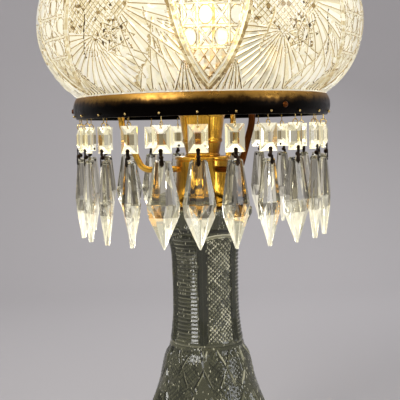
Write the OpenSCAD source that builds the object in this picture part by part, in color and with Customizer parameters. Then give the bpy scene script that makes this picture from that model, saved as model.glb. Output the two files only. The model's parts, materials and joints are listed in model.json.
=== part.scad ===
// Cut glass table lamp: a hollow glass base, a brass cap with three arms that carry a ring,
// a glass dome standing in the ring, and a fringe of faceted prisms hanging from it.
// Millimetres, +Z up, origin on the table under the middle of the foot.
// An azimuth is counted from the front (-Y) towards +X.

/* [Glass base] */
// Largest radius of the foot
foot_r = 97; // [90:1:104]
// Height of the glass base, foot to lip
base_h = 277; // [265:1:290]
// Radius of the waist of the column
column_r = 32.5; // [31:0.5:34]
// Radius of the flared lip
lip_r = 46.5; // [45:0.5:48]
// Thickness of the glass in the column
column_wall = 7; // [5.5:0.5:8]
// Panels round the column, divided by flutes
panels = 6; // [4:2:8]
// Height of the panels' foot
panel_z = 152; // [150:1:156]
// Height of the panels
panel_h = 92; // [84:1:94]
// Pitch of the steps in every other panel
step_pitch = 3.7; // [3.2:0.1:4.5]
// Scallops round the lip
lip_scallops = 24; // [18:1:28]
// Scallops round the foot
foot_scallops = 24; // [18:1:28]

/* [Foot fittings] */
// Thickness of the felt pad
felt_t = 2; // [1.5:0.5:3]
// Thickness of the base plate
plate_t = 2.5; // [2:0.5:3]
// Radius of the base plate
plate_r = 84; // [80:1:85]
// Outer radius of the lamp pipe
pipe_r = 5; // [4.5:0.1:5.5]
// Bore radius of the lamp pipe
pipe_bore_r = 3.4; // [3:0.1:3.6]
// Across the flats of both nuts
nut_af = 17; // [15:1:18]
// Height of both nuts
nut_h = 4; // [3:0.5:4.5]
// Bore radius of the outlet bush
bush_bore_r = 3.5; // [3:0.25:4]

/* [Brass cap] */
// Radius of the cap's straight body
cap_r = 26; // [25:0.5:28]
// Radius of the cap's skirt at its foot
skirt_r = 36; // [34:0.5:38]
// Height of the cap
cap_h = 47; // [45:0.5:50]
// Height of the straight body below the flange
body_h = 21; // [19:0.5:23]
// Thickness of the gasket under the cap
gasket_t = 2; // [1.5:0.5:3]

/* [Socket cup] */
// Radius of the cup at its foot
cup_foot_r = 16; // [15:0.5:18]
// Radius of the cup at its mouth
cup_mouth_r = 22.4; // [22:0.2:25]
// Height of the cup
cup_h = 41; // [39:1:43]

/* [Arms] */
// Diameter of the arm rods
arm_d = 6; // [5:0.25:6.5]
// Azimuth of the first arm
arm_azimuth = -85; // [-90:1:-80]
// Height of the arm holes above the cap's foot
arm_z = 35; // [33:0.5:36]
// Rise from the arm holes to the foot of the ring
ring_rise = 49; // [47:0.5:52]
// Slope of the arms' straight middle
arm_slope = 66; // [63:1:69]
// Level reach of an arm before its first bend
arm_reach = 51; // [48:1:54]

/* [Shade ring] */
// Radius of the ring at its top edge
ring_r = 119; // [117:0.5:122]
// Height of the ring
ring_h = 19.5; // [18.5:0.5:21]
// Thickness of the ring wall
ring_wall = 0.8; // [0.7:0.1:1]
// How far the ring wall bulges
ring_bulge = 3.1; // [2.6:0.1:3.4]
// Width of the ledge that the shade stands on
ledge_w = 12; // [10:0.5:13]

/* [Shade] */
// Radius of the shade at its widest
shade_r = 153; // [150:0.5:157]
// Height of the widest place above the ring
belly_rise = 65.5; // [64:0.5:67]
// Height of the top above the widest place
crown_rise = 106; // [100:1:112]
// Thickness of the shade
shade_wall = 5; // [4.5:0.5:6]
// Vesicas cut round the shade, with a star between each two
vesicas = 6; // [5:1:7]
// Depth of the mitre cuts in the shade
mitre_depth = 1.6; // [1:0.1:1.8]

/* [Lampholder and bulb] */
// Outer radius of the lampholder's shell
holder_r = 17; // [16.5:0.25:18]
// Height of the lampholder's shell
holder_h = 41; // [39:1:44]
// Radius of the bulb's screw base
bulb_base_r = 13.2; // [12.6:0.1:13.3]
// Largest radius of the bulb
bulb_r = 30; // [28:0.5:32]
// Length of the bulb
bulb_l = 108; // [104:1:112]
// Reach of the switch key from the lamp's axis
key_reach = 31; // [29:0.5:34]

/* [Prisms] */
// Sets of bead and prism round the ring
prism_count = 24; // [20:1:24]
// Azimuth of the first set
prism_azimuth = -1.75; // [-3:0.25:3]
// Width of a bead
bead_w = 16.7; // [15:0.1:18]
// Height of a bead
bead_h = 23.4; // [22:0.1:25]
// Thickness of a bead
bead_t = 7.6; // [7:0.1:8.4]
// Width of a prism
prism_w = 28.2; // [25:0.1:28.4]
// Length of a prism
prism_l = 74.3; // [70:0.1:78]
// Thickness of a prism
prism_t = 12; // [11:0.1:13]
// Diameter of the pin wire
wire_d = 0.9; // [0.8:0.05:1]
// Radius of the pins' loops
loop_r = 2.6; // [2.5:0.05:2.8]

/* [Hidden] */
$fn = 96;
PRISMS = [for (i = [1:24]) str("prism_", i < 10 ? "0" : "", i)];

// Clearances
seat = 0.2;        // between faces that rest on each other
running = 0.05;    // round a shaft that turns
slip = 0.3;        // round a piece that drops into place
over = 1;          // how far a cutter runs past what it cuts

// Heights, from the table up
foot_z = felt_t;
lip_z = foot_z + base_h;
cap_z = lip_z + gasket_t;
cap_top_z = cap_z + cap_h;
cup_top_z = cap_top_z + cup_h;
arm_hole_z = cap_z + arm_z;
ring_z = arm_hole_z + ring_rise;
ring_top_z = ring_z + ring_h;
ledge_t = 1.5;
ledge_z = ring_top_z - 7.5;
rim_z = ledge_z + ledge_t + seat;
belly_z = ring_top_z + belly_rise;

// Foot of the base
step_z = foot_z + 8 + plate_t;
hollow_r = plate_r - 7;
lip_t = 7;
washer_t = 1.5;
washer_r = 14;
flute_r = 3.2;
scallop_r = 5.5;
scallop_in = 1.6;

// Outline of the glass base, foot to lip: radius and height of each turn
foot_h = 118;
waist_z = foot_z + base_h * 0.6;
BASE_OUT = [
    [foot_r - 4, foot_z], [foot_r, foot_z + 5], [foot_r - 2.5, foot_z + 13],
    [foot_r * 0.83, foot_z + 38], [foot_r * 0.655, foot_z + 66], [foot_r * 0.55, foot_z + 90],
    [column_r + 14.3, foot_z + 110], [column_r + 12.8, foot_z + foot_h], [column_r + 9, foot_z + 133],
    [column_r + 4.3, foot_z + 142], [column_r + 0.8, foot_z + 167], [column_r, waist_z + 20],
    [column_r, waist_z + 46], [column_r + 0.9, lip_z - 42], [column_r + 5.2, lip_z - 27],
    [lip_r - 3.5, lip_z - 14], [lip_r, lip_z - lip_t], [lip_r, lip_z - 1.2], [lip_r - 1.2, lip_z]];
BASE_IN = [
    [hollow_r, step_z], [hollow_r * 0.88, foot_z + 34], [hollow_r * 0.62, foot_z + 64],
    [column_r + 4, foot_z + 96], [column_r - column_wall + 4, foot_z + 130],
    [column_r - column_wall, foot_z + 160], [column_r - column_wall, lip_z - 36],
    [column_r - column_wall + 1.5, lip_z - 14], [column_r - column_wall + 1.5, lip_z + over]];

// Smooth line through points: each stretch is a cubic whose slope at a point follows its neighbours
function at(p, i) = p[max(0, min(len(p) - 1, i))];
function cubic(a, b, c, d, t) =
    0.5 * (2 * b + (c - a) * t + (2 * a - 5 * b + 4 * c - d) * t * t + (3 * b - a - 3 * c + d) * t * t * t);
function smooth(p, n) = concat(
    [for (i = [0:len(p) - 2], k = [0:n - 1]) cubic(at(p, i - 1), p[i], p[i + 1], at(p, i + 2), k / n)],
    [p[len(p) - 1]]);

// Lower pieces of the base
module base_body() {
    rotate_extrude() difference() {
        polygon(concat([[0, foot_z]], smooth(BASE_OUT, 2), [[0, lip_z]]));
        polygon(concat([[0, step_z]], smooth(BASE_IN, 2), [[0, lip_z + over]]));
        square([plate_r + slip, step_z]);
    }
}

// Steps cut across every other panel of the column, in the stretch where it is straight
flute_azimuth = -5;
step_depth = 0.8;
step_half_w = step_pitch * 0.56;
module panel_steps() {
    first = waist_z - 8;
    count = floor((panel_z + panel_h - first - 4) / step_pitch);
    turn = 360 / panels;
    margin = 7.5;
    for (i = [0:2:panels - 1]) rotate(flute_azimuth - 90 - (i + 1) * turn + margin)
        rotate_extrude(angle = turn - 2 * margin) for (k = [0:count - 1])
            translate([column_r, first + k * step_pitch])
                polygon([[-step_depth, 0], [over, -step_half_w], [over, step_half_w]]);
}

// Long V-shaped mitres that fan out down the foot from under each flute
foot_mitre_depth = 1.9;
foot_mitre_w = 2.6;
foot_mitre_fan = 16;
module foot_mitre(azimuth, lean) {
    top = [foot_r * 0.6, foot_z + 78];
    bottom = [foot_r * 0.93, foot_z + 20];
    run = bottom - top;
    rotate(azimuth) translate([0, -top[0], top[1]]) rotate([0, lean, 0])
        rotate([180 - atan2(run[0], -run[1]), 0, 0]) linear_extrude(norm(run))
            polygon([[0, -foot_mitre_depth], [foot_mitre_w, foot_mitre_depth], [-foot_mitre_w, foot_mitre_depth]]);
}

module glass_base() {
    color([0.8, 0.88, 0.84, 0.5]) difference() {
        base_body();
        panel_steps();
        for (i = [0:panels - 1]) for (lean = [-foot_mitre_fan, 0, foot_mitre_fan])
            foot_mitre(flute_azimuth + i * 360 / panels, lean);
        for (i = [0:panels - 1]) rotate(flute_azimuth + i * 360 / panels)
            translate([0, -column_r - flute_r * 0.62, panel_z]) cylinder(r = flute_r, h = panel_h);
        for (i = [0:lip_scallops - 1]) rotate((i + 0.5) * 360 / lip_scallops)
            translate([0, -lip_r - scallop_r + scallop_in, lip_z - 16])
                cylinder(r = scallop_r, h = 16 + over);
        for (i = [0:foot_scallops - 1]) rotate((i + 0.5) * 360 / foot_scallops)
            translate([0, -foot_r - 9 + 2.4, foot_z - over]) cylinder(r = 9, h = 16);
        translate([0, foot_r * 0.5, bush_z]) rotate([-90, 0, 0]) cylinder(r = bush_r + running, h = foot_r);
        translate([0, bush_y - seat, bush_z]) rotate([-90, 0, 0]) cylinder(r = bush_head_r + slip, h = foot_r);
    }
}

module felt_pad() {
    color("darkgreen") cylinder(r = foot_r - 4.5, h = felt_t - running);
}

module ring_slab(r, bore, z, h) {
    translate([0, 0, z]) difference() {
        cylinder(r = r, h = h);
        translate([0, 0, -over]) cylinder(r = bore, h = h + 2 * over);
    }
}

module base_plate() {
    color("silver") ring_slab(plate_r, pipe_r + seat, step_z - plate_t, plate_t);
}

module base_washer() {
    color("silver") ring_slab(washer_r, pipe_r + seat, step_z - plate_t - washer_t, washer_t);
}

module nut(z) {
    translate([0, 0, z]) difference() {
        cylinder(d = nut_af / cos(30), h = nut_h, $fn = 6);
        translate([0, 0, -over]) cylinder(r = pipe_r + running, h = nut_h + 2 * over);
    }
}

base_nut_z = step_z - plate_t - washer_t - nut_h;
module base_nut() {
    color("goldenrod") nut(base_nut_z);
}

// The bush lies across the wall at the back of the foot, with its head in a spot face
bush_z = foot_z + 26;
bush_y = foot_r * 0.85;
bush_r = bush_bore_r + 1.6;
bush_head_r = bush_r + 2;
bush_head_t = 2;
bush_l = 17;
module outlet_bush() {
    color("goldenrod") translate([0, bush_y, bush_z]) rotate([-90, 0, 0]) difference() {
        union() {
            translate([0, 0, -bush_l]) cylinder(r = bush_r, h = bush_l + bush_head_t);
            cylinder(r = bush_head_r, h = bush_head_t);
        }
        translate([0, 0, -bush_l - over]) cylinder(r = bush_bore_r, h = bush_l + bush_head_t + 2 * over);
    }
}

pipe_top_z = cap_top_z + 30;
module lamp_pipe() {
    color("goldenrod") ring_slab(pipe_r, pipe_bore_r, base_nut_z - 0.5, pipe_top_z - base_nut_z + 0.5);
}

module cap_gasket() {
    color("saddlebrown") ring_slab(skirt_r - 3, pipe_r + slip, lip_z, gasket_t);
}

// Brass cap: a turned body with a flange on top and a flared skirt
module brass_cap() {
    flare = cap_h - body_h;
    color("gold") difference() {
        rotate_extrude() difference() {
            polygon(concat(
                [[0, cap_z], [skirt_r, cap_z], [skirt_r, cap_z + 3]],
                [for (k = [0:6]) let (t = k / 6)
                    [cap_r + (skirt_r - 1 - cap_r) * (1 - t) * (1 - t), cap_z + 3 + (flare - 3) * t]],
                [[cap_r, cap_top_z - 2.4], [cap_r + 0.9, cap_top_z - 1.8], [cap_r + 0.9, cap_top_z - 0.6],
                 [cap_r, cap_top_z], [0, cap_top_z]]));
            square([pipe_r + seat, cap_top_z + over]);
        }
        for (k = [0:2]) arm_frame(k) translate([0, 0, arm_hole_z]) rotate([90, 0, 0])
            translate([0, 0, cap_r - 9]) cylinder(d = arm_d + 2 * running, h = 9 + over);
    }
}

// Socket cup: a cone with a rolled mouth and a seat for the lampholder
module socket_cup() {
    color("orange") translate([0, 0, cap_top_z]) rotate_extrude() difference() {
        union() {
            polygon([[0, 0], [cup_foot_r + 1, 0], [cup_foot_r + 1, 1.5], [cup_foot_r, 2.5],
                     [cup_mouth_r - 0.5, cup_h - 2], [cup_mouth_r - 0.5, cup_h], [0, cup_h]]);
            translate([cup_mouth_r - 0.6, cup_h - 1.2]) circle(1.2, $fn = 32);
            translate([cup_foot_r + 1.8, cup_h * 0.36]) circle(0.9, $fn = 32);
        }
        square([pipe_r + seat, cup_h + over]);
        translate([0, cup_seat_h]) square([holder_r + slip, cup_h]);
    }
}

cup_seat_h = 20;
holder_z = cap_top_z + cup_seat_h;
module pipe_locknut() {
    color("goldenrod") nut(holder_z);
}

// Section of the ring: a stretch between two arcs about one centre
ring_arc_r = (ring_h * ring_h / 4 + ring_bulge * ring_bulge) / (2 * ring_bulge);
ring_arc_x = ring_r + ring_bulge - ring_arc_r;
ring_mid = ring_h / 2;
function ring_outer_r(z) = ring_arc_x + sqrt(ring_arc_r * ring_arc_r - (z - ring_mid) * (z - ring_mid));
function ring_inner_r(z) =
    ring_arc_x + sqrt((ring_arc_r - ring_wall) * (ring_arc_r - ring_wall) - (z - ring_mid) * (z - ring_mid));

// Arms: a rod that leaves the cap level, turns up, runs along a slope, turns upright and then out.
// Each place on its path is a radius, a height and a heading, where 0 runs outwards and 90 up.
arm_end_z = ring_z + 8;
arm_end_r = ring_inner_r(arm_end_z - ring_z) - 0.9;
arm_start_r = cap_r - 8;
arm_bend_1 = 11;
arm_bend_2 = 25;
arm_bend_3 = 9;
arm_slope_l = (arm_end_z - arm_bend_3 - arm_hole_z - arm_bend_1 * (1 - cos(arm_slope))
    - arm_bend_2 * cos(arm_slope)) / sin(arm_slope);
arm_upright_r = arm_reach + arm_bend_1 * sin(arm_slope) + arm_slope_l * cos(arm_slope)
    + arm_bend_2 * (1 - sin(arm_slope));
function bend(centre, r, from, to, steps) = [for (k = [0:steps]) let (h = from + (to - from) * k / steps,
    side = to > from ? 1 : -1) [centre[0] + side * r * sin(h), centre[1] - side * r * cos(h), h]];
ARM_PATH = concat(
    [[arm_start_r, arm_hole_z, 0]],
    bend([arm_reach, arm_hole_z + arm_bend_1], arm_bend_1, 0, arm_slope, 5),
    bend([arm_upright_r - arm_bend_2, arm_end_z - arm_bend_3], arm_bend_2, arm_slope, 90, 2),
    [for (k = [1:5]) bend([arm_upright_r + arm_bend_3, arm_end_z - arm_bend_3], arm_bend_3, 90, 0, 5)[k]],
    [[arm_end_r, arm_end_z, 0]]);

// A frame whose -Y runs outwards at the azimuth of arm k
module arm_frame(k) {
    rotate(arm_azimuth + k * 120) children();
}

module arm(k) {
    sides = 16;
    color("darkgoldenrod") arm_frame(k) rotate(-90) difference() {
        ring_stack([for (p = ARM_PATH) [for (i = [0:sides - 1]) let (q = i * 360 / sides, r = arm_d / 2)
            [p[0] - r * cos(q) * sin(p[2]), -r * sin(q), p[1] + r * cos(q) * cos(p[2])]]]);
        translate([arm_end_r - screw_l, 0, arm_end_z]) rotate([0, 90, 0])
            cylinder(r = screw_r + running, h = screw_l + over, $fn = 32);
    }
}

module arm_left() { arm(0); }
module arm_front() { arm(1); }
module arm_rear() { arm(2); }

// Round-headed screws with a slot
screw_r = 1.4;
screw_l = 9;
screw_head_r = 2.7;
screw_head_h = 2;
screw_slot = 0.7;
module arm_screws() {
    wall_r = ring_outer_r(arm_end_z - ring_z);
    ball_r = (screw_head_r * screw_head_r + screw_head_h * screw_head_h) / (2 * screw_head_h);
    color("darkgoldenrod") for (k = [0:2]) arm_frame(k) translate([0, -wall_r - seat, arm_end_z])
        rotate([90, 0, 0]) {
            difference() {
                rotate_extrude() intersection() {
                    translate([0, screw_head_h - ball_r]) circle(ball_r);
                    square([screw_head_r, screw_head_h]);
                }
                translate([-screw_head_r, -screw_slot / 2, screw_head_h - 0.8])
                    cube([2 * screw_head_r, screw_slot, over]);
            }
            translate([0, 0, -(wall_r - arm_end_r + screw_l - 1)])
                cylinder(r = screw_r, h = wall_r - arm_end_r + screw_l, $fn = 32);
        }
}

// Shade ring: the band, with an inner ledge
pin_hole_z = 2.8;
pin_hole_r = wire_d / 2 + 0.15;
ledge_in_r = ring_r - ring_wall - ledge_w + 1;
module shade_ring() {
    ledge_out_r = ring_inner_r(ledge_z - ring_z + ledge_t) + ring_wall / 2;
    color("#3a2c12") difference() {
        union() {
            translate([0, 0, ring_z]) rotate_extrude() intersection() {
                difference() {
                    translate([ring_arc_x, ring_mid]) circle(ring_arc_r);
                    translate([ring_arc_x, ring_mid]) circle(ring_arc_r - ring_wall);
                }
                translate([ring_r - 6, 0]) square([20, ring_h]);
            }
            ring_slab(ledge_out_r, ledge_in_r, ledge_z, ledge_t);
        }
        for (i = [0:prism_count - 1]) prism_frame(i) translate([0, 0, ring_z + pin_hole_z])
            rotate([90, 0, 0]) translate([0, 0, ring_r - 4]) cylinder(r = pin_hole_r, h = 9, $fn = 24);
        for (k = [0:2]) arm_frame(k) translate([0, 0, arm_end_z])
            rotate([90, 0, 0]) translate([0, 0, ring_r - 3]) cylinder(r = screw_r + 0.15, h = 9, $fn = 32);
    }
}

// Shade: belly and crown are arcs that meet in one tangent; the rim is a straight neck
neck_r = ring_r - 2;
neck_in_r = neck_r - 7;
belly_out = shade_r - neck_r;
belly_r = (belly_out * belly_out + belly_rise * belly_rise) / (2 * belly_out);
belly_x = shade_r - belly_r;
crown_r = (belly_x * belly_x + crown_rise * crown_rise - belly_r * belly_r) / (2 * (crown_rise - belly_r));
crown_z = belly_z + crown_rise - crown_r;
tangent = atan2(belly_z - crown_z, belly_x);
module dome_section(inset, neck) {
    translate([belly_x, belly_z]) circle(belly_r - inset);
    intersection() {
        translate([0, crown_z]) circle(crown_r - inset, $fn = 192);
        translate([0, crown_z]) polygon([[0, 0], 2 * crown_r * [cos(tangent), sin(tangent)], [0, 2 * crown_r]]);
    }
    translate([0, rim_z - over]) square([neck, belly_z - rim_z + over]);
}

module dome() {
    rotate_extrude() intersection() {
        difference() {
            dome_section(0, neck_r);
            dome_section(shade_wall, neck_in_r);
        }
        union() {
            translate([0, rim_z]) square([neck_r, ring_top_z - rim_z]);
            translate([0, ring_top_z]) square([shade_r + over, belly_rise + crown_rise + over]);
        }
    }
}

// Places on the shade's outside: s is the way up along its outline from the top of the ring
below_ring = asin((belly_z - ring_top_z) / belly_r);
belly_arc = belly_r * (below_ring + tangent) * PI / 180;
function below_at(s) = s < belly_arc ? below_ring - s / belly_r * 180 / PI
    : -tangent - (s - belly_arc) / crown_r * 180 / PI;
function out_at(s) = s < belly_arc ? belly_x + belly_r * cos(below_at(s)) : crown_r * cos(below_at(s));
function z_at(s) = s < belly_arc ? belly_z - belly_r * sin(below_at(s)) : crown_z - crown_r * sin(below_at(s));

// A mitre is a straight V-shaped cut. The glass curves away from it, so it runs out at both ends.
module mitre(s, x, tilt, depth) {
    half_w = 1.6 * (depth + over);
    rotate(x / out_at(s) * 180 / PI) translate([0, -out_at(s), z_at(s)]) rotate([below_at(s), 0, 0])
        rotate([0, tilt, 0]) linear_extrude(mitre_reach, center = true)
            polygon([[0, depth], [half_w, -over], [-half_w, -over]]);
}

// Mitres along the two sides of a vesica, whose half width is a parabola of the way up from its foot
vesica_foot = 9.3;
vesica_l = 182;
vesica_slope = 0.8;
module vesica_sides() {
    bow = vesica_slope / vesica_l;
    for (side = [-1, 1]) for (step = [0.14:0.18:0.86]) {
        up = step * vesica_l;
        mitre(vesica_foot + up, side * (vesica_slope * up - bow * up * up),
            side * atan(vesica_slope - 2 * bow * up), mitre_depth);
    }
}

// Rays of a fan beside each vesica, from an apex that the rays start at
fan_s = 61.7;
fan_x = 50;
ray_l = 19;
module fan_rays() {
    for (side = [-1, 1]) for (ray = [10, 50, 90])
        mitre(fan_s - ray_l * cos(ray), side * (fan_x - ray_l * sin(ray)), side * ray, mitre_depth * 0.8);
}

// An eight-rayed star
star_s = 54;
module star() {
    for (ray = [0:45:135]) mitre(star_s, 0, ray, mitre_depth * 0.8);
}

// Each vesica, and half way to the next one a star between two fans
shade_azimuth = 3;
crown_star_s = 214;
mitre_reach = 70;
module shade() {
    turn = 360 / vesicas;
    color([1, 0.96, 0.8, 0.5]) difference() {
        dome();
        for (i = [0:vesicas - 1]) rotate(shade_azimuth + i * turn) {
            vesica_sides();
            fan_rays();
            rotate(turn / 2) star();
            for (half = [0, turn / 2]) rotate(half) mitre(crown_star_s, 0, 0, mitre_depth);
        }
    }
}

// Lampholder, from the cup up
shell_z = holder_z + nut_h + 8;
module holder_cap() {
    color("gold") translate([0, 0, holder_z]) rotate_extrude() difference() {
        polygon([[0, 0], [holder_r - 2, 0], [holder_r, 2], [holder_r, shell_z - holder_z], [0, shell_z - holder_z]]);
        translate([0, -over]) square([nut_af / cos(30) / 2 + slip, over + nut_h + seat]);
        square([pipe_r + running, shell_z]);
    }
}

shell_t = 0.8;
key_z = cup_top_z + 7;
key_shaft_r = 1.6;
// Turn of the key's shaft from +X towards the back
key_turn = 6;
module key_hole(clearance) {
    translate([0, 0, key_z]) rotate([0, 90, key_turn])
        cylinder(r = key_shaft_r + clearance, h = 2 * holder_r, $fn = 32);
}

module holder_shell() {
    color("gold") difference() {
        ring_slab(holder_r, holder_r - shell_t, shell_z, holder_h);
        key_hole(2 * seat);
    }
}

liner_t = 1;
liner_r = holder_r - shell_t - seat;
module holder_liner() {
    color("dimgray") difference() {
        ring_slab(liner_r, liner_r - liner_t, shell_z, holder_h - 1);
        key_hole(2 * seat);
    }
}

core_h = key_z - shell_z + 4;
core_r = liner_r - liner_t - seat;
module holder_core() {
    color("white") difference() {
        translate([0, 0, shell_z]) cylinder(r = core_r, h = core_h);
        key_hole(running);
    }
}

screw_shell_t = 0.5;
screw_shell_z = shell_z + core_h;
module screw_shell() {
    inside_r = bulb_base_r + slip;
    color("goldenrod") ring_slab(inside_r + screw_shell_t, inside_r, screw_shell_z, holder_h - core_h - 3);
}

contact_h = 2.4;
module centre_contact() {
    color("goldenrod") translate([0, 0, screw_shell_z]) {
        cylinder(r = 5, h = 0.8, $fn = 32);
        cylinder(r = 2.2, h = contact_h, $fn = 32);
    }
}

// Switch key: a shaft from the core and a flat paddle with round flanks
key_shaft_in = 7;
paddle_l = 9;
paddle_r = 5.5;
paddle_t = 3;
module switch_key() {
    color("black") translate([0, 0, key_z]) rotate([0, 90, key_turn]) {
        translate([0, 0, key_shaft_in])
            cylinder(r = key_shaft_r, h = key_reach - key_shaft_in - paddle_l + over, $fn = 32);
        translate([0, 0, key_reach - paddle_l]) intersection() {
            cylinder(r = paddle_r, h = paddle_l, $fn = 48);
            translate([-paddle_r, -paddle_t / 2, 0]) cube([2 * paddle_r, paddle_t, paddle_l]);
        }
    }
}

// Bulb: screw base with its button, glass envelope, glass stem and filament
bulb_z = screw_shell_z + contact_h + seat;
bulb_base_h = 25;
glass_t = 0.8;
module bulb_base() {
    color("silver") translate([0, 0, bulb_z]) rotate_extrude() difference() {
        union() {
            polygon([[0, 0], [3.5, 0], [4.5, 1.6], [bulb_base_r - 1, 4], [bulb_base_r, 5.5],
                     [bulb_base_r, bulb_base_h], [0, bulb_base_h]]);
            for (k = [0:4]) translate([bulb_base_r - 0.3, 8 + 3.6 * k]) circle(0.5, $fn = 16);
        }
        polygon([[0, 3.5], [bulb_base_r - 3, 5.5], [bulb_base_r - 0.6, 7], [bulb_base_r - 0.6, bulb_base_h + over],
                 [0, bulb_base_h + over]]);
    }
}

module bulb_section(inset) {
    neck = bulb_base_r - 1.2;
    ball_y = bulb_l - bulb_r;
    translate([0, ball_y]) circle(bulb_r - inset);
    polygon(concat([[0, bulb_base_h - 4], [neck - inset, bulb_base_h - 4]],
        [for (k = [0:6]) let (t = k / 6, s = t * t * (3 - 2 * t))
            [neck - inset + (bulb_r - neck) * s, bulb_base_h + 2 + (ball_y - bulb_base_h - 2) * t]],
        [[0, ball_y]]));
}

module bulb_glass() {
    color([1, 1, 0.9, 0.6]) translate([0, 0, bulb_z]) rotate_extrude() intersection() {
        difference() {
            bulb_section(0);
            bulb_section(glass_t);
        }
        square([bulb_r + over, bulb_l + over]);
    }
}

stem_top = bulb_l - bulb_r - 6;
module bulb_stem() {
    color([0.9, 0.95, 0.9, 0.6]) translate([0, 0, bulb_z + bulb_base_h - 3]) {
        cylinder(r1 = bulb_base_r - 2.4, r2 = 3.4, h = 14);
        cylinder(r = 2.2, h = stem_top - bulb_base_h + 3);
    }
}

module bulb_filament() {
    color("orange") translate([0, 0, bulb_z + stem_top + seat]) {
        cylinder(r = 1.2, h = 5, $fn = 24);
        for (s = [-1, 1]) translate([s * 4.5, 0, 0]) cylinder(r = 0.5, h = 12, $fn = 24);
        translate([-5, 0, 12]) rotate([0, 90, 0]) cylinder(r = 0.9, h = 10, $fn = 24);
        translate([-5, 0, 0.6]) rotate([0, 90, 0]) cylinder(r = 0.5, h = 10, $fn = 24);
    }
}

// Prisms. Each set is drawn about the middle of its pin's loop, with -Y outwards
pin_in = 4;
loop_drop = 6.8;
pin_r = ring_outer_r(pin_hole_z) - pin_in;
loop_z = ring_z - loop_drop;

// A frame whose -Y runs outwards at set i
module prism_frame(i) {
    rotate(prism_azimuth + i * 360 / prism_count) children();
}

module prism_pins() {
    color("#5a4318") for (i = [0:prism_count - 1]) prism_frame(i) translate([0, -pin_r, loop_z]) prism_pin();
}

pin_bend = 1.5;
head_r = 1.1;
module prism_pin() {
    rise = ring_z + pin_hole_z - loop_z;
    out = ring_outer_r(pin_hole_z) - pin_r + head_r + 0.1;
    rotate([90, 0, 90]) rotate_extrude($fn = 48) translate([loop_r, 0]) circle(d = wire_d, $fn = 24);
    translate([0, 0, loop_r]) cylinder(d = wire_d, h = rise - pin_bend - loop_r, $fn = 24);
    translate([0, -pin_bend, rise - pin_bend]) rotate([90, 0, 90])
        rotate_extrude(angle = 90) translate([pin_bend, 0]) circle(d = wire_d, $fn = 24);
    translate([0, -pin_bend, rise]) rotate([90, 0, 0]) cylinder(d = wire_d, h = out - pin_bend, $fn = 24);
    translate([0, -out, rise]) sphere(head_r, $fn = 24);
}

// A closed solid over a stack of rings of points, all with the same number of points
module ring_stack(rings) {
    n = len(rings[0]);
    top = len(rings) - 1;
    sides = [for (k = [0:top - 1], i = [0:n - 1]) let (a = k * n + i, b = k * n + (i + 1) % n)
        each [[a, b, b + n], [a, b + n, a + n]]];
    polyhedron([for (r = rings) each r],
        concat([[for (i = [0:n - 1]) i]], [for (f = sides) [f[2], f[1], f[0]]],
            [[for (i = [n - 1:-1:0]) top * n + i]]));
}

hole_in = 2.1;
bead_hole_r = 1.1;
link_hole_r = 0.9;
link_pin_r = 0.5;
bead_top = -loop_r + 0.1 + hole_in;
bead_foot_hole = bead_top - bead_h + hole_in;
table_w = bead_w * 0.31;
table_h = bead_h * 0.39;
girdle_t = 1.5;
module bead() {
    function face(w, h, y) = [for (c = [[-1, -1], [1, -1], [1, 1], [-1, 1]])
        [c[0] * w / 2, y, bead_top - bead_h / 2 + c[1] * h / 2]];
    difference() {
        ring_stack([face(table_w, table_h, bead_t / 2), face(bead_w, bead_h, girdle_t / 2),
                    face(bead_w, bead_h, -girdle_t / 2), face(table_w, table_h, -bead_t / 2)]);
        for (hole = [[bead_top - hole_in, bead_hole_r], [bead_foot_hole, link_hole_r]])
            translate([0, bead_t / 2, hole[0]]) rotate([90, 0, 0]) cylinder(r = hole[1], h = bead_t, $fn = 24);
    }
}

// One level of the prism: half width a, half thickness b, half width of the table facet c,
// and how far the shoulder between table and edge stands out, from 0.5 for a flat face
edge_t = 0.7;
function prism_level(z, a, b, c, full) =
    let (m = (a + c) / 2, s = edge_t + (b - edge_t) * full)
    [for (p = [[a, edge_t], [a, -edge_t], [m, -s], [c, -b], [-c, -b], [-m, -s],
               [-a, -edge_t], [-a, edge_t], [-m, s], [-c, b], [c, b], [m, s]]) [p[0], p[1], z]];

prism_top = bead_top - bead_h - 6;
prism_hole = prism_top - 2.8;
module spear() {
    a = prism_w / 2;
    b = prism_t / 2;
    difference() {
        ring_stack([
            prism_level(prism_top, a * 0.45, b * 0.38, a * 0.2, 0.8),
            prism_level(prism_top - 1.4, a * 0.53, b * 0.46, a * 0.2, 0.8),
            prism_level(prism_top - prism_l * 0.5, a, b, a * 0.2, 0.76),
            prism_level(prism_top - prism_l * 0.64, a * 0.9, b * 0.94, a * 0.02, 0.56),
            prism_level(prism_top - prism_l, a * 0.045, b * 0.33, a * 0.015, 0.54)]);
        translate([0, b, prism_hole]) rotate([90, 0, 0]) cylinder(r = link_hole_r, h = prism_t, $fn = 24);
    }
}

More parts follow.
